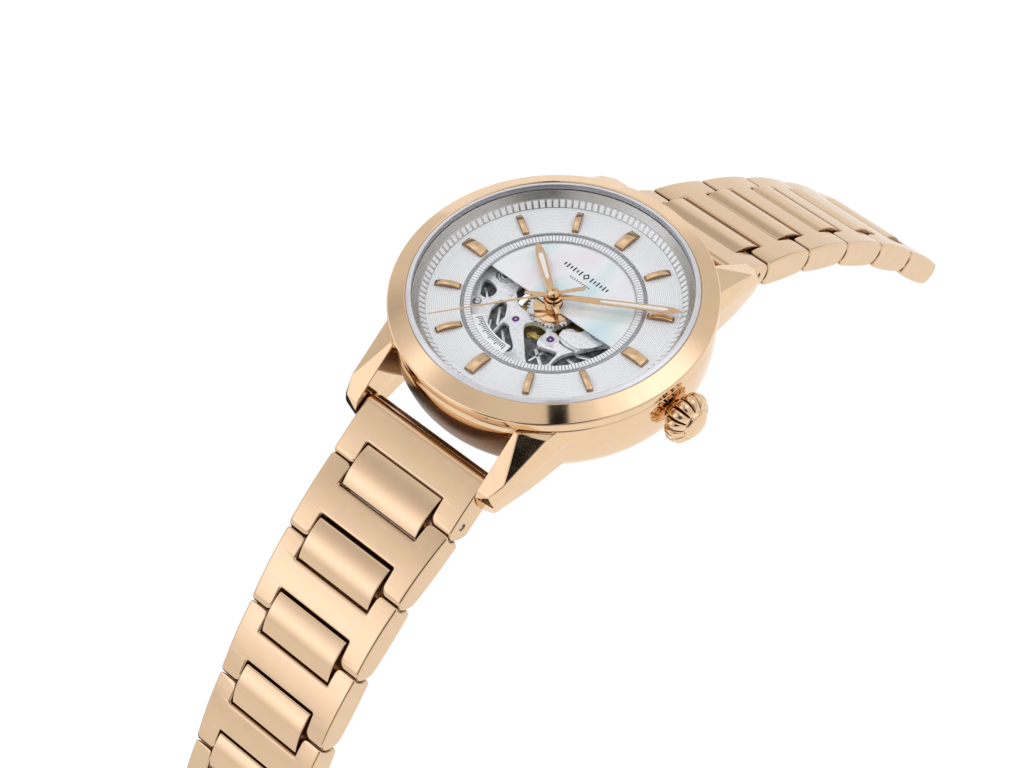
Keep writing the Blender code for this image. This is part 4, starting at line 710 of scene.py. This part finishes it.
# rotor, bridges and cock, seen through the back window
rot_out = arc(11.2, -178, -2, 96) + arc(1.6, 10, 170, 24)
rotor_plate = bevelled(prism([rot_out, arc(8.0, -160, -96, 24) + arc(3.0, -105, -150, 12), arc(8.0, -84, -20, 24) + arc(3.0, -30, -75, 12), circle(0.66, 40)], 1.62, 1.95), 0.04, 2, 60)
rotor_rim = bevelled(prism([arc(11.2, -177, -3, 96) + arc(8.7, -3, -177, 80)], 1.80, 2.40), 0.06, 3, 60)
piece("winding_rotor", boolean(rotor_plate, [rotor_rim], 'UNION'), "rotor_steel", "rotor", ["rotor"])
bay = arc(3.35, -118, 62, 48, *BALANCE)
bo = [(11.6 * cos(radians(a)), 11.6 * sin(radians(a))) for a in [160 - 320 * i / 120 for i in range(121)]] + bay
piece("train_bridge_plate", join(bevelled(prism([bo, circle(0.2, 24, *THIRD), circle(0.2, 24, *ESCAPE), circle(0.46, 32, *BARREL), circle(0.2, 24),
                                       blob([(4.8, -2.0), (6.5, -2.4), (7.4, -4.2), (6.2, -6.4), (4.4, -6.8), (5.2, -4.6)]),
                                       blob([(-3.9, 7.2), (-1.6, 8.9), (1.8, 8.8), (3.2, 7.2), (1.4, 7.7), (-1.8, 7.6)]),
                                       blob([(-0.6, -5.6), (1.2, -6.2), (2.6, -7.4), (0.6, -8.6), (-1.6, -7.6)])], 2.6, 3.15), 0.05, 2, 55),
                                 lathe([(1.2, 2.48), (1.7, 2.48), (1.7, 2.64), (1.2, 2.64)], 64)), "plate", "head", ["train_bridge"])
piece("balance_bridge", bevelled(prism([[(-11.5, -1.4), (-10.2, -1.3), (-8.4, -0.9)] + arc(1.2, -120, 120, 32, *BALANCE) + [(-8.6, 1.1), (-10.2, 1.3), (-11.5, 1.3)], circle(0.2, 24, *BALANCE)], 2.6, 3.15), 0.05, 2, 55),
      "plate", "head", ["balance_cock"])
def jewel_down(x, y, r, z=2.6):
    return turn(lathe([(0.09, z + 0.1), (0.09, z + 0.02), (0.16, z - 0.0), (r - 0.03, z - 0.02), (r, z - 0.005), (r, z + 0.1)], 36), 0, (x, y))
piece("bridge_jewels", join(*[jewel_down(*c, 0.36) for c in (THIRD, ESCAPE, BALANCE, (0, 0))]), "jewel", "head", ())
piece("bridge_screws", join(*[screw(x, y, 2.50, 2.75, 0.42, False, a) for x, y, a in ((8.9, 2.8, 15), (8.6, -6.0, 80), (-4.5, 9.6, 40), (3.9, 9.6, 120), (-6.6, -7.6, 65), (-10.2, 0.0, 100))]), "blued", "head", ())

# ================================================================ crown
def crown_mesh():
    """Fluted knob: fourteen full lobes between narrow grooves, widest in the middle, with a domed end disc."""
    nt, lobes = 336, 14
    prof = [(18.45, 1.90), (18.46, 2.30), (18.54, 2.58), (18.68, 2.78), (18.86, 2.91), (19.06, 2.99), (19.28, 3.03), (19.52, 3.04), (19.76, 3.00),
            (20.00, 2.91), (20.22, 2.77), (20.42, 2.58), (20.58, 2.37), (20.70, 2.18), (20.76, 2.06)]
    rows = []
    for u, R in prof:
        amp = 0.50 * min(1.0, max(0.0, (R - 1.9) / 0.55))
        row = []
        for i in range(nt):
            a = 2 * pi * i / nt
            f = (a * lobes / (2 * pi)) % 1.0
            d = min(f, 1 - f) * 2                       # 0 in a groove, 1 on a crest
            g = exp(-(d / 0.17) ** 2) + 0.42 * (1 - d) ** 2
            row.append(((R - amp * g) * cos(a), (R - amp * g) * sin(a), u))
        rows.append(row)
    for u, R in ((20.80, 1.86), (20.74, 1.82), (20.74, 1.76), (20.86, 1.72), (21.02, 1.64), (21.16, 1.50), (21.27, 1.28), (21.36, 1.0), (21.41, 0.7), (21.44, 0.35)):
        rows.append([(R * cos(2 * pi * i / nt), R * sin(2 * pi * i / nt), u) for i in range(nt)])
    inner = [(18.45, 1.25), (19.15, 1.25), (19.15, 0.66), (19.9, 0.66)]
    rows = [[(R * cos(2 * pi * i / nt), R * sin(2 * pi * i / nt), u) for i in range(nt)] for u, R in inner[::-1]] + rows
    verts = [p for r_ in rows for p in r_]
    faces = []
    for k in range(len(rows) - 1):
        for i in range(nt):
            j = (i + 1) % nt
            faces.append((k * nt + i, k * nt + j, (k + 1) * nt + j, (k + 1) * nt + i))
    verts += [(0, 0, 19.9), (0, 0, 21.45)]
    c0, c1, last = len(verts) - 2, len(verts) - 1, (len(rows) - 1) * nt
    for i in range(nt):
        j = (i + 1) % nt
        faces += [(c0, j, i), (c1, last + i, last + j)]
    return verts, faces
# painted shade: faces in the crown's grooves take the darker gap gold
def in_groove(p, me):
    c = p.center / MM
    f = (atan2(c.y, c.x) * 14 / (2 * pi)) % 1.0
    return 1 if min(f, 1 - f) * 2 < 0.17 and 18.5 < c.z < 20.65 and hypot(c.x, c.y) > 1.5 else 0
piece("winding_crown", crown_mesh(), ["gold", "painted_gap_shade"], "crown", ["crown"], 40, at=(0, 0, CROWN_Z), rot=(0, 90, 0), weighted=False, assign=in_groove)

# ================================================================ hands
def half_hand(pts):
    """Closed outline from right-hand half widths (y, w), from tail to tip."""
    return [(w, y) for y, w in pts] + [(-w, y) for y, w in pts[::-1]]
def hub(r, pts):
    return pts
def raised(outline, z0, z1, ridge, bore, hub_r):
    """Hand blade: flat outline with rounded edges, joined to a round hub and bored through the middle."""
    body = boolean(bevelled(prism([outline], z0, z1), 0.05, 2, 40), [lathe([(0, z0), (hub_r, z0), (hub_r, z1 + 0.03), (hub_r - 0.05, z1 + 0.06), (0, z1 + 0.06)], 72, False)], 'UNION')
    return boolean(body, [rod((0, 0, z0 - 1), (0, 0, z1 + 1), bore, 40)])
hour_out = half_hand([(-2.3, 0.26), (-1.2, 0.34), (0.6, 0.36), (1.4, 0.40), (4.0, 0.50), (6.6, 0.56), (7.6, 0.48), (8.45, 0.10)])
minute_out = half_hand([(-3.2, 0.22), (-1.2, 0.32), (0.6, 0.34), (1.4, 0.36), (6.0, 0.42), (12.2, 0.46), (13.3, 0.38), (14.3, 0.07)])
second_out = half_hand([(-3.6, 0.24), (-3.2, 0.28), (-1.2, 0.20), (-0.6, 0.17), (0.8, 0.15), (14.0, 0.06)])
piece("hour_hand_blade", raised(hour_out, 9.08, 9.24, 0, 0.82, 1.12), "gold_hand", "hour_train", ["hour_hand"], 30, rot=(0, 0, -TIME[0]))
piece("hour_hand_inlay", bevelled(prism([half_hand([(2.9, 0.10), (3.2, 0.20), (6.4, 0.29), (6.9, 0.20)])], 9.235, 9.262), 0.008, 1), "lume", "hour_train", (), rot=(0, 0, -TIME[0]))
piece("minute_hand_blade", raised(minute_out, 9.52, 9.68, 0, 0.44, 0.92), "gold_hand", "minute_train", ["minute_hand"], 30, rot=(0, 0, -TIME[1]))
piece("minute_hand_inlay", bevelled(prism([half_hand([(5.2, 0.08), (5.6, 0.17), (12.0, 0.24), (12.7, 0.14)])], 9.675, 9.702), 0.008, 1), "lume", "minute_train", (), rot=(0, 0, -TIME[1]))
sec = boolean(bevelled(prism([second_out], 9.98, 10.06), 0.02, 2, 40), [lathe([(0, 9.98), (0.66, 9.98), (0.66, 10.34), (0.56, 10.46), (0.30, 10.52), (0, 10.52)], 64, False)], 'UNION')
sec = boolean(sec, [rod((0, 0, 9), (0, 0, 10.37), 0.14, 32), rod((0, 0, 10.36), (0, 0, 11), 0.20, 32)])
piece("seconds_hand_blade", sec, "gold_hand", "seconds_train", ["seconds_hand"], 30, rot=(0, 0, -TIME[2]))

# ================================================================ bracelet
def smooth01(t):
    t = max(0.0, min(1.0, t))
    return t * t * (3 - 2 * t)

def rounded(corners, n=6):
    """Plan outline from (x, s, radius) corners, each turned by an arc."""
    out, k = [], len(corners)
    for i in range(k):
        x, s, r = corners[i]
        p = Vector((x, s))
        u = (Vector(corners[i - 1][:2]) - p).normalized()
        v = (Vector(corners[(i + 1) % k][:2]) - p).normalized()
        if r <= 0:
            out.append((x, s)); continue
        half = u.angle(v) / 2
        d = r / tan(half)
        centre = p + (u + v).normalized() * (r / sin(half))
        a0, a1 = (p + u * d - centre), (p + v * d - centre)
        total = a0.angle_signed(a1)
        for q in range(n + 1):
            w_ = Matrix.Rotation(-total * q / n, 2) @ a0
            out.append((centre.x + w_.x, centre.y + w_.y))
    return out

def shaped(outline, t0, t1, bend, bevel, slices_s, slices_t, segments=3, roll=None, upright=False):
    """Prism on a plan outline (x, s), upper and lower edges rounded, sliced crosswise and bent point by point by bend(x, s, t).
    roll = (s, width) first turns the upper edge at that s into a full quarter round."""
    m_ = len(outline)
    v = [(x, -s, t0) for x, s in outline] + [(x, -s, t1) for x, s in outline]
    f = [tuple(range(m_)), tuple(range(2 * m_ - 1, m_ - 1, -1))] + [(i, (i + 1) % m_, m_ + (i + 1) % m_, m_ + i) for i in range(m_)]
    bm = to_bmesh((v, f))
    if roll:
        edges = [e for e in bm.edges if all(abs(p.co.y + roll[0]) < 1e-4 and p.co.z > 0 for p in e.verts)]
        bmesh.ops.bevel(bm, geom=edges, offset=roll[1], segments=10, profile=0.5, affect='EDGES', clamp_overlap=False)
    edges = [e for e in bm.edges if e.calc_face_angle(0) > radians(35) and (upright or abs(e.verts[0].co.z - e.verts[1].co.z) < 1e-5 or (roll and e.calc_face_angle(0) > radians(60)))]
    bmesh.ops.bevel(bm, geom=edges, offset=bevel, segments=segments, profile=0.5, affect='EDGES', clamp_overlap=upright)
    bmesh.ops.remove_doubles(bm, verts=bm.verts, dist=0.0008)
    for s in slices_s:
        bmesh.ops.bisect_plane(bm, geom=bm.verts[:] + bm.edges[:] + bm.faces[:], plane_co=(0, -s, 0), plane_no=(0, 1, 0))
    for t in slices_t:
        bmesh.ops.bisect_plane(bm, geom=bm.verts[:] + bm.edges[:] + bm.faces[:], plane_co=(0, 0, t), plane_no=(0, 0, 1))
    for p in bm.verts:
        x, s, t = bend(p.co.x, -p.co.y, p.co.z)
        p.co = (x, -s, t)
    bm.verts.index_update()
    out = [tuple(p.co) for p in bm.verts], [tuple(p.index for p in q.verts) for q in bm.faces]
    bm.free()
    return out

NOSE_S = sqrt(NOSE_R ** 2 - LINK_UP ** 2)      # 1.2 past the pin at the top surface
SOCK_S = sqrt(SOCKET_R ** 2 - LINK_UP ** 2)    # 1.38 past the pin above
TS = [-1.5, -1.1, -0.7, -0.3, 0.1, 0.5, 0.9, 1.2]
SAG_TOP, SAG_LOW = 0.30, 0.22

def crowned(s, a, b, t):
    """Top and back surfaces arch along the link's length."""
    u = (2 * s - a - b) / (b - a)
    if t > 0:
        return t * (LINK_UP + 0.12 - SAG_TOP * u * u) / LINK_UP
    return t * (LINK_DOWN + 0.02 - SAG_LOW * u * u) / LINK_DOWN

def nose_bulge(t):
    if abs(t) >= NOSE_R:
        return -0.6
    return sqrt(NOSE_R ** 2 - t * t) - NOSE_S if t > -1.5 else (sqrt(NOSE_R ** 2 - t * t) - NOSE_S)

def sock_hollow(t):
    return sqrt(SOCKET_R ** 2 - max(-1.02, t) ** 2) - SOCK_S if t > -1.02 else 1.77 - SOCK_S + (-1.02 - t) / 0.88 * 0.33

def h_outline(w0, w1, c0, c1, a, b, na, nb):
    """H in plan: upper notch down to na, lower notch up from nb, half widths w0..w1, notch half widths c0, c1."""
    half = [(w0, a, 0.42), (c0, a, 0.80), (c0, na, 0.12)]
    low_half = [(c1, nb, 0.12), (c1, b, 0.80), (w1, b, 0.42)]
    return rounded(half + [(-x, s, r) for x, s, r in half[::-1]] + [(-x, s, r) for x, s, r in low_half[::-1]] + low_half)

def h_link(k):
    w0, w1 = HALF_W[k - 1], HALF_W[k]
    a, b = SOCK_S, PITCH + NOSE_S
    c0, c1 = w0 * CENTRE_FRACTION + 0.07, w1 * CENTRE_FRACTION + 0.07
    out = h_outline(w0, w1, c0, c1, a, b, GAP_S + NOTCH - 0.04, PITCH + GAP_S - NOTCH + 0.04)
    def bend(x, s, t):
        q = max(0.0, 1 - (s - a) / 1.6)
        p = max(0.0, 1 - (b - s) / 1.6)
        ds = sock_hollow(t) * smooth01(q) + nose_bulge(t) * smooth01(p)
        return x, s + ds, crowned(s, a, b, t)
    return shaped(out, -LINK_DOWN, LINK_UP, bend, 0.34, [a + 0.42 + (b - a - 0.84) * i / 20 for i in range(21)], TS, 4)

def centre_link(k):
    c = HALF_W[k - 1] * CENTRE_FRACTION - 0.07
    a, b = -1.38, 3.90
    out = [(-c, a), (c, a), (c, b), (-c, b)]
    def bend(x, s, t):
        u = (2 * s - a - b) / (b - a)
        if t > 0:
            t2 = t * (LINK_UP + 0.40 - 0.56 * u * u) / LINK_UP
        else:
            t2 = t
        ds = 0.0
        if t < 0.2:      # the end towards the pin above is turned about that pin
            q = smooth01(1 - (s - a) / 1.6)
            tt = min(1.45, max(0.0, -t))
            target = -sqrt(max(0.0, 1.45 ** 2 - tt * tt)) if t > -1.4 else 0.1
            ds = (target - a) * q
        return x, s + ds, t2
    return shaped(out, -LINK_DOWN, LINK_UP, bend, 0.17, [a + 0.2 + (b - a - 0.4) * i / 16 for i in range(17)], TS, 3, None, True)

L = hypot(END_PIN[0] - BAR[0], END_PIN[1] - BAR[1])
tilt_e = degrees(atan2(END_PIN[1] - BAR[1], END_PIN[0] - BAR[0])) + END_TILT
S1, T1 = L * cos(radians(tilt_e)), L * sin(radians(tilt_e))
def end_link():
    """End link: rolled edge towards the case, two legs with the first pin across them."""
    w = HALF_W[0]
    c = w * CENTRE_FRACTION + 0.06
    a, b = S1 - 6.05, S1 + NOSE_S
    nb = S1 + GAP_S - NOTCH + 0.04
    low_half = [(c, nb, 0.12), (c, b, 0.80), (w, b, 0.42)]
    out = rounded([(w, a, 0), (-w, a, 0)] + [(-x, s, r) for x, s, r in low_half[::-1]] + low_half)
    def bend(x, s, t):
        u = (2 * s - a - b) / (b - a)
        ds = nose_bulge(t) * smooth01(1 - (b - s) / 1.6)
        q = max(0.0, 1 - (s - a) / 1.0)
        if t > 0:
            t2 = t * (LINK_UP + 0.06 - 0.16 * u * u) / LINK_UP
        else:
            t2 = t * (LINK_DOWN - (0.55 * q)) / LINK_DOWN
            ds += -0.35 * q * sin(pi * min(1, -t / LINK_DOWN))
        return x, s + ds, t2 + T1
    body = shaped(out, -LINK_DOWN, LINK_UP, bend, 0.26, [a + 0.95 + (b - a - 1.4) * i / 20 for i in range(21)], TS, 4, (a, 0.85))
    holes = [rod((-12, 0, 0), (12, 0, 0), 0.84, 40)] + [rod((sx * (w - 0.28), -S1, T1), (sx * (w + 0.5), -S1, T1), 0.46, 40) for sx in (1, -1)]
    return boolean(body, holes)

def pins(c, y, z, r=0.40):
    return rod((-c, y, z), (c, y, z), r, 32, 0.05)

def side_or_top(p, me):
    return 1 if abs(p.normal.x) > 0.8 else 0
def link_faces(p, me):
    """Satin top, polished flanks; the walls that face a neighbouring link, and the inner walls beside the centre link,
    get a darker gold as painted shade in the gaps.
    """
    x, n = abs(p.center.x / MM), p.normal
    if abs(n.x) > 0.8:
        return 1 if x > 0.8 * HALF_W[5] else 2
    return 2 if abs(n.y) > 0.8 and abs(n.z) < 0.6 else 0
def end_link_faces(p, me):
    return 0 if p.normal.y > 0.5 else link_faces(p, me)

for side, sy, yaw in (("6", -1, 0), ("12", 1, 180)):
    at = (0, sy * BAR[0], BAR[1])
    piece(f"end_link_{side}_shell", end_link(), ["gold_satin", "gold_side", "painted_gap_shade"], f"end_link_{side}", [f"end_link_{side}"], 28, at, (END_TILT, 0, yaw), assign=end_link_faces)
    c = HALF_W[0] * CENTRE_FRACTION
    slot_ = [boolean(rod((sx * (HALF_W[0] - 0.30), -S1, T1), (sx * (HALF_W[0] - 0.14), -S1, T1), 0.34, 32, 0.04),
                     [cuboid(sx * (HALF_W[0] - 0.2) - 0.12, sx * (HALF_W[0] - 0.2) + 0.12, -S1 - 0.6, -S1 + 0.6, T1 - 0.06, T1 + 0.06)]) for sx in (1, -1)]
    piece(f"end_link_{side}_pin", join(pins(c + 0.4, -S1, T1), *slot_), "steel", f"end_link_{side}", (), at=at, rot=(END_TILT, 0, yaw))
    sb = [(0.0, -9.7), (0.36, -9.7), (0.40, -9.66), (0.4, -9.02), (0.62, -8.98), (0.78, -8.9), (0.78, -8.3), (0.70, -8.2), (0.70, 8.2), (0.78, 8.3), (0.78, 8.9), (0.62, 8.98), (0.4, 9.02), (0.40, 9.66), (0.36, 9.7), (0.0, 9.7)]
    piece(f"spring_bar_{side}_pin", lathe(sb, 48, False), "steel", "head", [f"spring_bar_{side}"], at=at, rot=(0, 90, 0))
    y, z = END_PIN
    for k in range(1, 6):
        tilt = TILT[side][k - 1]
        at = (0, sy * y, z)
        body = f"link_{side}_{k}"
        piece(f"h_link_{side}_{k}_body", h_link(k), ["gold_satin", "gold_side", "painted_gap_shade"], body, [f"h_link_{side}_{k}"], 28, at, (tilt, 0, yaw), assign=link_faces)
        c1 = HALF_W[k] * CENTRE_FRACTION
        piece(f"h_link_{side}_{k}_pin", pins(c1 + 0.4, -PITCH, 0), "steel", body, (), at=at, rot=(tilt, 0, yaw))
        piece(f"centre_link_{side}_{k}_body", boolean(centre_link(k), [rod((-9, 0, 0), (9, 0, 0), 0.46, 32)]), ["gold_satin", "gold_side", "painted_gap_shade"], body, [f"centre_link_{side}_{k}"], 28, at, (tilt, 0, yaw), assign=link_faces)
        y += PITCH * cos(radians(tilt))
        z -= PITCH * sin(radians(tilt))
    if side == "6":
        CLASP_AT = (0, -y, z)

# ================================================================ folding clasp
COVER_L, COVER_W, COVER_IN = 27.0, 8.3, 7.2
A_PIN, B_PIN = (24.4, -1.6), (4.6, -1.6)
c5 = HALF_W[5] * CENTRE_FRACTION - 0.04
def world(s, t):
    a = radians(CLASP_TILT)
    return (0, CLASP_AT[1] - s * cos(a) - t * sin(a), CLASP_AT[2] - s * sin(a) + t * cos(a))
cover = slab([(2.15, 0.9), (2.3, 1.3), (2.6, 1.5), (6, 1.56), (13, 1.60), (20, 1.56), (COVER_L - 0.9, 1.46), (COVER_L - 0.3, 1.2), (COVER_L, 0.7), (COVER_L, -2.6), (2.15, -2.6)], lambda s: (-COVER_W, COVER_W))
cover = bevelled(cover, 0.28, 4, 40)
tongue = bevelled(slab([(-1.25, 0.9), (-1.0, 1.25), (3.0, 1.25), (3.0, -1.2), (0.2, -1.6)] + [(1.45 * cos(radians(a)), 1.45 * sin(radians(a))) for a in (235, 225, 215, 205)], lambda s: (-c5, c5)), 0.12, 3, 30)
cover = boolean(cover, [slab([(3.2, -5), (COVER_L + 1, -5), (COVER_L + 1, 0.5), (3.2, 0.5)], lambda s: (-COVER_IN, COVER_IN))])
cover = boolean(cover, [tongue], 'UNION')
cover = boolean(cover, [rod((-12, 0, 0), (12, 0, 0), 0.46, 40), rod((COVER_IN - 1, -14.0, -1.0), (COVER_W + 1, -14.0, -1.0), 0.86, 48), rod((-COVER_IN + 1, -14.0, -1.0), (-COVER_W - 1, -14.0, -1.0), 0.86, 48)])
piece("clasp_cover_shell", cover, ["gold_satin", "gold_side"], "clasp_cover", ["clasp_cover"], 28, CLASP_AT, (CLASP_TILT, 0, 0), assign=side_or_top)
piece("clasp_cover_axle", rod((-COVER_IN - 0.5, -A_PIN[0], A_PIN[1]), (COVER_IN + 0.5, -A_PIN[0], A_PIN[1]), 0.40, 32), "steel", "clasp_cover", (), at=CLASP_AT, rot=(CLASP_TILT, 0, 0))
LB = A_PIN[0] - B_PIN[0]
blade = bevelled(slab([(-LB - 0.9, -0.35), (0.9, -0.35), (0.9, 0.35), (-LB - 0.9, 0.35)], lambda s: (-6.25, 6.25)), 0.08, 2)
blade = boolean(blade, [rod((-6.25, 0, 0), (6.25, 0, 0), 0.95, 48, 0.08), rod((-6.25, LB, 0), (6.25, LB, 0), 0.95, 48, 0.08)], 'UNION')
blade = boolean(blade, [bevelled(prism([[(-5.0, 1.4), (5.0, 1.4), (5.0, LB + 3), (-5.0, LB + 3)]], -3, 3), 0.5, 4), rod((-12, 0, 0), (12, 0, 0), 0.46, 32)])
piece("clasp_long_blade", blade, "steel", "clasp_blade_long", ["clasp_blade_long"], 28, world(*A_PIN), (CLASP_TILT, 0, 0))
piece("clasp_blade_axle", rod((-5.5, LB, 0), (5.5, LB, 0), 0.40, 32), "steel", "clasp_blade_long", (), at=world(*A_PIN), rot=(CLASP_TILT, 0, 0))
SB = 16.6
blade = bevelled(slab([(-0.6, -0.35), (SB, -0.35), (SB, 0.35), (-0.6, 0.35)], lambda s: (-4.8, 4.8)), 0.08, 2)
blade = boolean(blade, [rod((-4.8, 0, 0), (4.8, 0, 0), 0.95, 48, 0.08), rod((-4.8, -SB, 0), (4.8, -SB, 0), 0.95, 48, 0.08)], 'UNION')
blade = boolean(blade, [rod((-12, 0, 0), (12, 0, 0), 0.46, 32), rod((-12, -SB, 0), (12, -SB, 0), 0.46, 32), bevelled(cuboid(-2.6, 2.6, -SB + 3, -3, -3, 3), 0.8, 5)])
piece("clasp_short_blade", blade, "steel", "clasp_blade_short", ["clasp_blade_short"], 28, world(*B_PIN), (CLASP_TILT, 0, 0))
for nm, sx in (("right", 1), ("left", -1)):
    piece(f"push_button_{nm}_cap", lathe([(0, 7.0), (1.15, 7.0), (1.15, 7.16), (0.8, 7.16), (0.8, 8.75), (0.74, 8.95), (0.6, 9.05), (0.3, 9.09), (0, 9.1)], 64, False), "gold", f"push_button_{nm}",
          [f"push_button_{nm}"], 30, world(14.0, -1.0), (0, 90 * sx, 0))

# ================================================================ CAD nodes that stay
for name, key in (("back_gasket", "rubber"), ("movement_ring", "holder"), ("setting_lever", "steel"), ("winding_stem", "steel_bright")):
    o = NODES[name]
    o.data.materials.clear()
    o.data.materials.append(M[key])
    bv = o.modifiers.new("edges", 'BEVEL')
    bv.width, bv.segments, bv.limit_method, bv.angle_limit = 0.03 * MM, 2, 'ANGLE', radians(40)

# ================================================================ stage, world and lights
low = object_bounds()[0].z - 0.0004
fm = bpy.data.meshes.new("floor")
fb = bmesh.new()
bmesh.ops.create_circle(fb, cap_ends=True, radius=4.0, segments=96)
fb.to_mesh(fm); fb.free()
floor = bpy.data.objects.new("floor", fm)
scene.collection.objects.link(floor)
floor.location = (0, 0, low)
fmat, t, b = new_material("floor_white")
b.inputs["Base Color"].default_value = (0.9, 0.9, 0.9, 1)
b.inputs["Roughness"].default_value = 0.9
em = t("ShaderNodeEmission", {"Color": (1, 1, 1, 1), "Strength": 1.06})
mx = t("ShaderNodeMixShader", {0: 0.10, 1: em.outputs[0], 2: b.outputs[0]})
t.t.links.new(mx.outputs[0], fmat.node_tree.nodes["Material Output"].inputs[0])
fm.materials.append(fmat)

w = bpy.data.worlds.new("studio")
scene.world = w
w.use_nodes = True
t = Tree(w.node_tree)
bg = w.node_tree.nodes["Background"]
d = t("ShaderNodeTexCoord").outputs["Generated"]
dn = t("ShaderNodeVectorMath", {0: d}, operation='NORMALIZE').outputs[0]
def direction(az, el):
    return (sin(radians(az)) * cos(radians(el)), -cos(radians(az)) * cos(radians(el)), sin(radians(el)))
def lobe(az, el, width):
    """Soft spot of light round a direction; width is its spread in degrees."""
    dot = t("ShaderNodeVectorMath", {0: dn, 1: direction(az, el)}, operation='DOT_PRODUCT').outputs["Value"]
    k = 1.0 / (1 - cos(radians(width)))
    return t.math('EXPONENT', t.math('MULTIPLY', t.math('SUBTRACT', dot, 1.0), k))
total = t.math('ADD', 0.80, 0.0)
cool = t.math('ADD', 0.0, 0.0)
for az, el, width, amp in ((-40, 25, 16, 0.80), (-18, 17, 14, 0.65), (-18, 46, 9, 0.45), (-66, 45, 8, 0.55), (132, 56, 16, 0.80), (146, 44, 9, 0.35),
                           (-120, 60, 12, 0.40), (100, 66, 12, 0.25), (-156, 2, 9, 0.30), (-140, 44, 9, -0.22), (-85, 22, 9, -0.25), (-158, 22, 12, -0.18), (-50, 62, 10, -0.18)):
    part = t.math('MULTIPLY', lobe(az, el, width), amp)
    total = t.math('ADD', total, part)
    if amp > 0:
        cool = t.math('ADD', cool, part)
def flag(az, el, width, soft, depth):
    """Dark card: a disc of directions, sharp edged where soft is small."""
    dot = t("ShaderNodeVectorMath", {0: dn, 1: direction(az, el)}, operation='DOT_PRODUCT').outputs["Value"]
    return t.maprange(dot, cos(radians(width + soft)), cos(radians(max(0.1, width - soft))), 1.0, depth, 'SMOOTHSTEP')
for az, el, width, soft, depth in [(46 - 0.16 * (79 - e), e, 3.9, 0.6, 0.02) for e in (79, 75, 70, 65, 60, 55, 50, 45, 41)] + [
        (52, 30, 20.0, 7.0, 0.10), (30, 12, 12, 5, 0.25), (5, 3, 9, 4, 0.25)]:
    total = t.math('MULTIPLY', total, flag(az, el, width, soft, depth))
t.t.links.new(t.math('MAXIMUM', total, 0.01), bg.inputs["Strength"])
tone = t("ShaderNodeMix", {0: t.maprange(cool, 0.0, 0.8, 0.0, 1.0), 6: (1.0, 0.99, 0.98, 1), 7: (1.0, 1.01, 1.10, 1)}, data_type='RGBA').outputs[2]
t.t.links.new(tone, bg.inputs["Color"])

# black cards low on the strap side, out of the camera's sight: they darken the case wall between the lugs
def card(name, r0, r1, a0, a1, z):
    n = 48
    v = [(r * MM * sin(radians(a0 + (a1 - a0) * i / n)), -r * MM * cos(radians(a0 + (a1 - a0) * i / n)), z) for i in range(n + 1) for r in (r0, r1)]
    me = bpy.data.meshes.new(name)
    me.from_pydata(v, [], [(2 * i, 2 * i + 1, 2 * i + 3, 2 * i + 2) for i in range(n)])
    o = bpy.data.objects.new(name, me)
    scene.collection.objects.link(o)
    m_, tt, bb = new_material(name)
    bb.inputs["Base Color"].default_value = (0.02, 0.012, 0.008, 1)
    bb.inputs["Roughness"].default_value = 1.0
    me.materials.append(m_)
    o.visible_camera = o.visible_diffuse = o.visible_shadow = o.visible_transmission = False
card("flag_card", 50, 86, -132, 24, low + 0.0006)

sun = bpy.data.objects.new("key_sun", bpy.data.lights.new("key_sun", 'SUN'))
scene.collection.objects.link(sun)
sun.data.energy, sun.data.angle = 0.45, radians(14)
sun.rotation_euler = Vector(direction(-60, 58)).to_track_quat('Z', 'Y').to_euler()
sun.visible_glossy = False
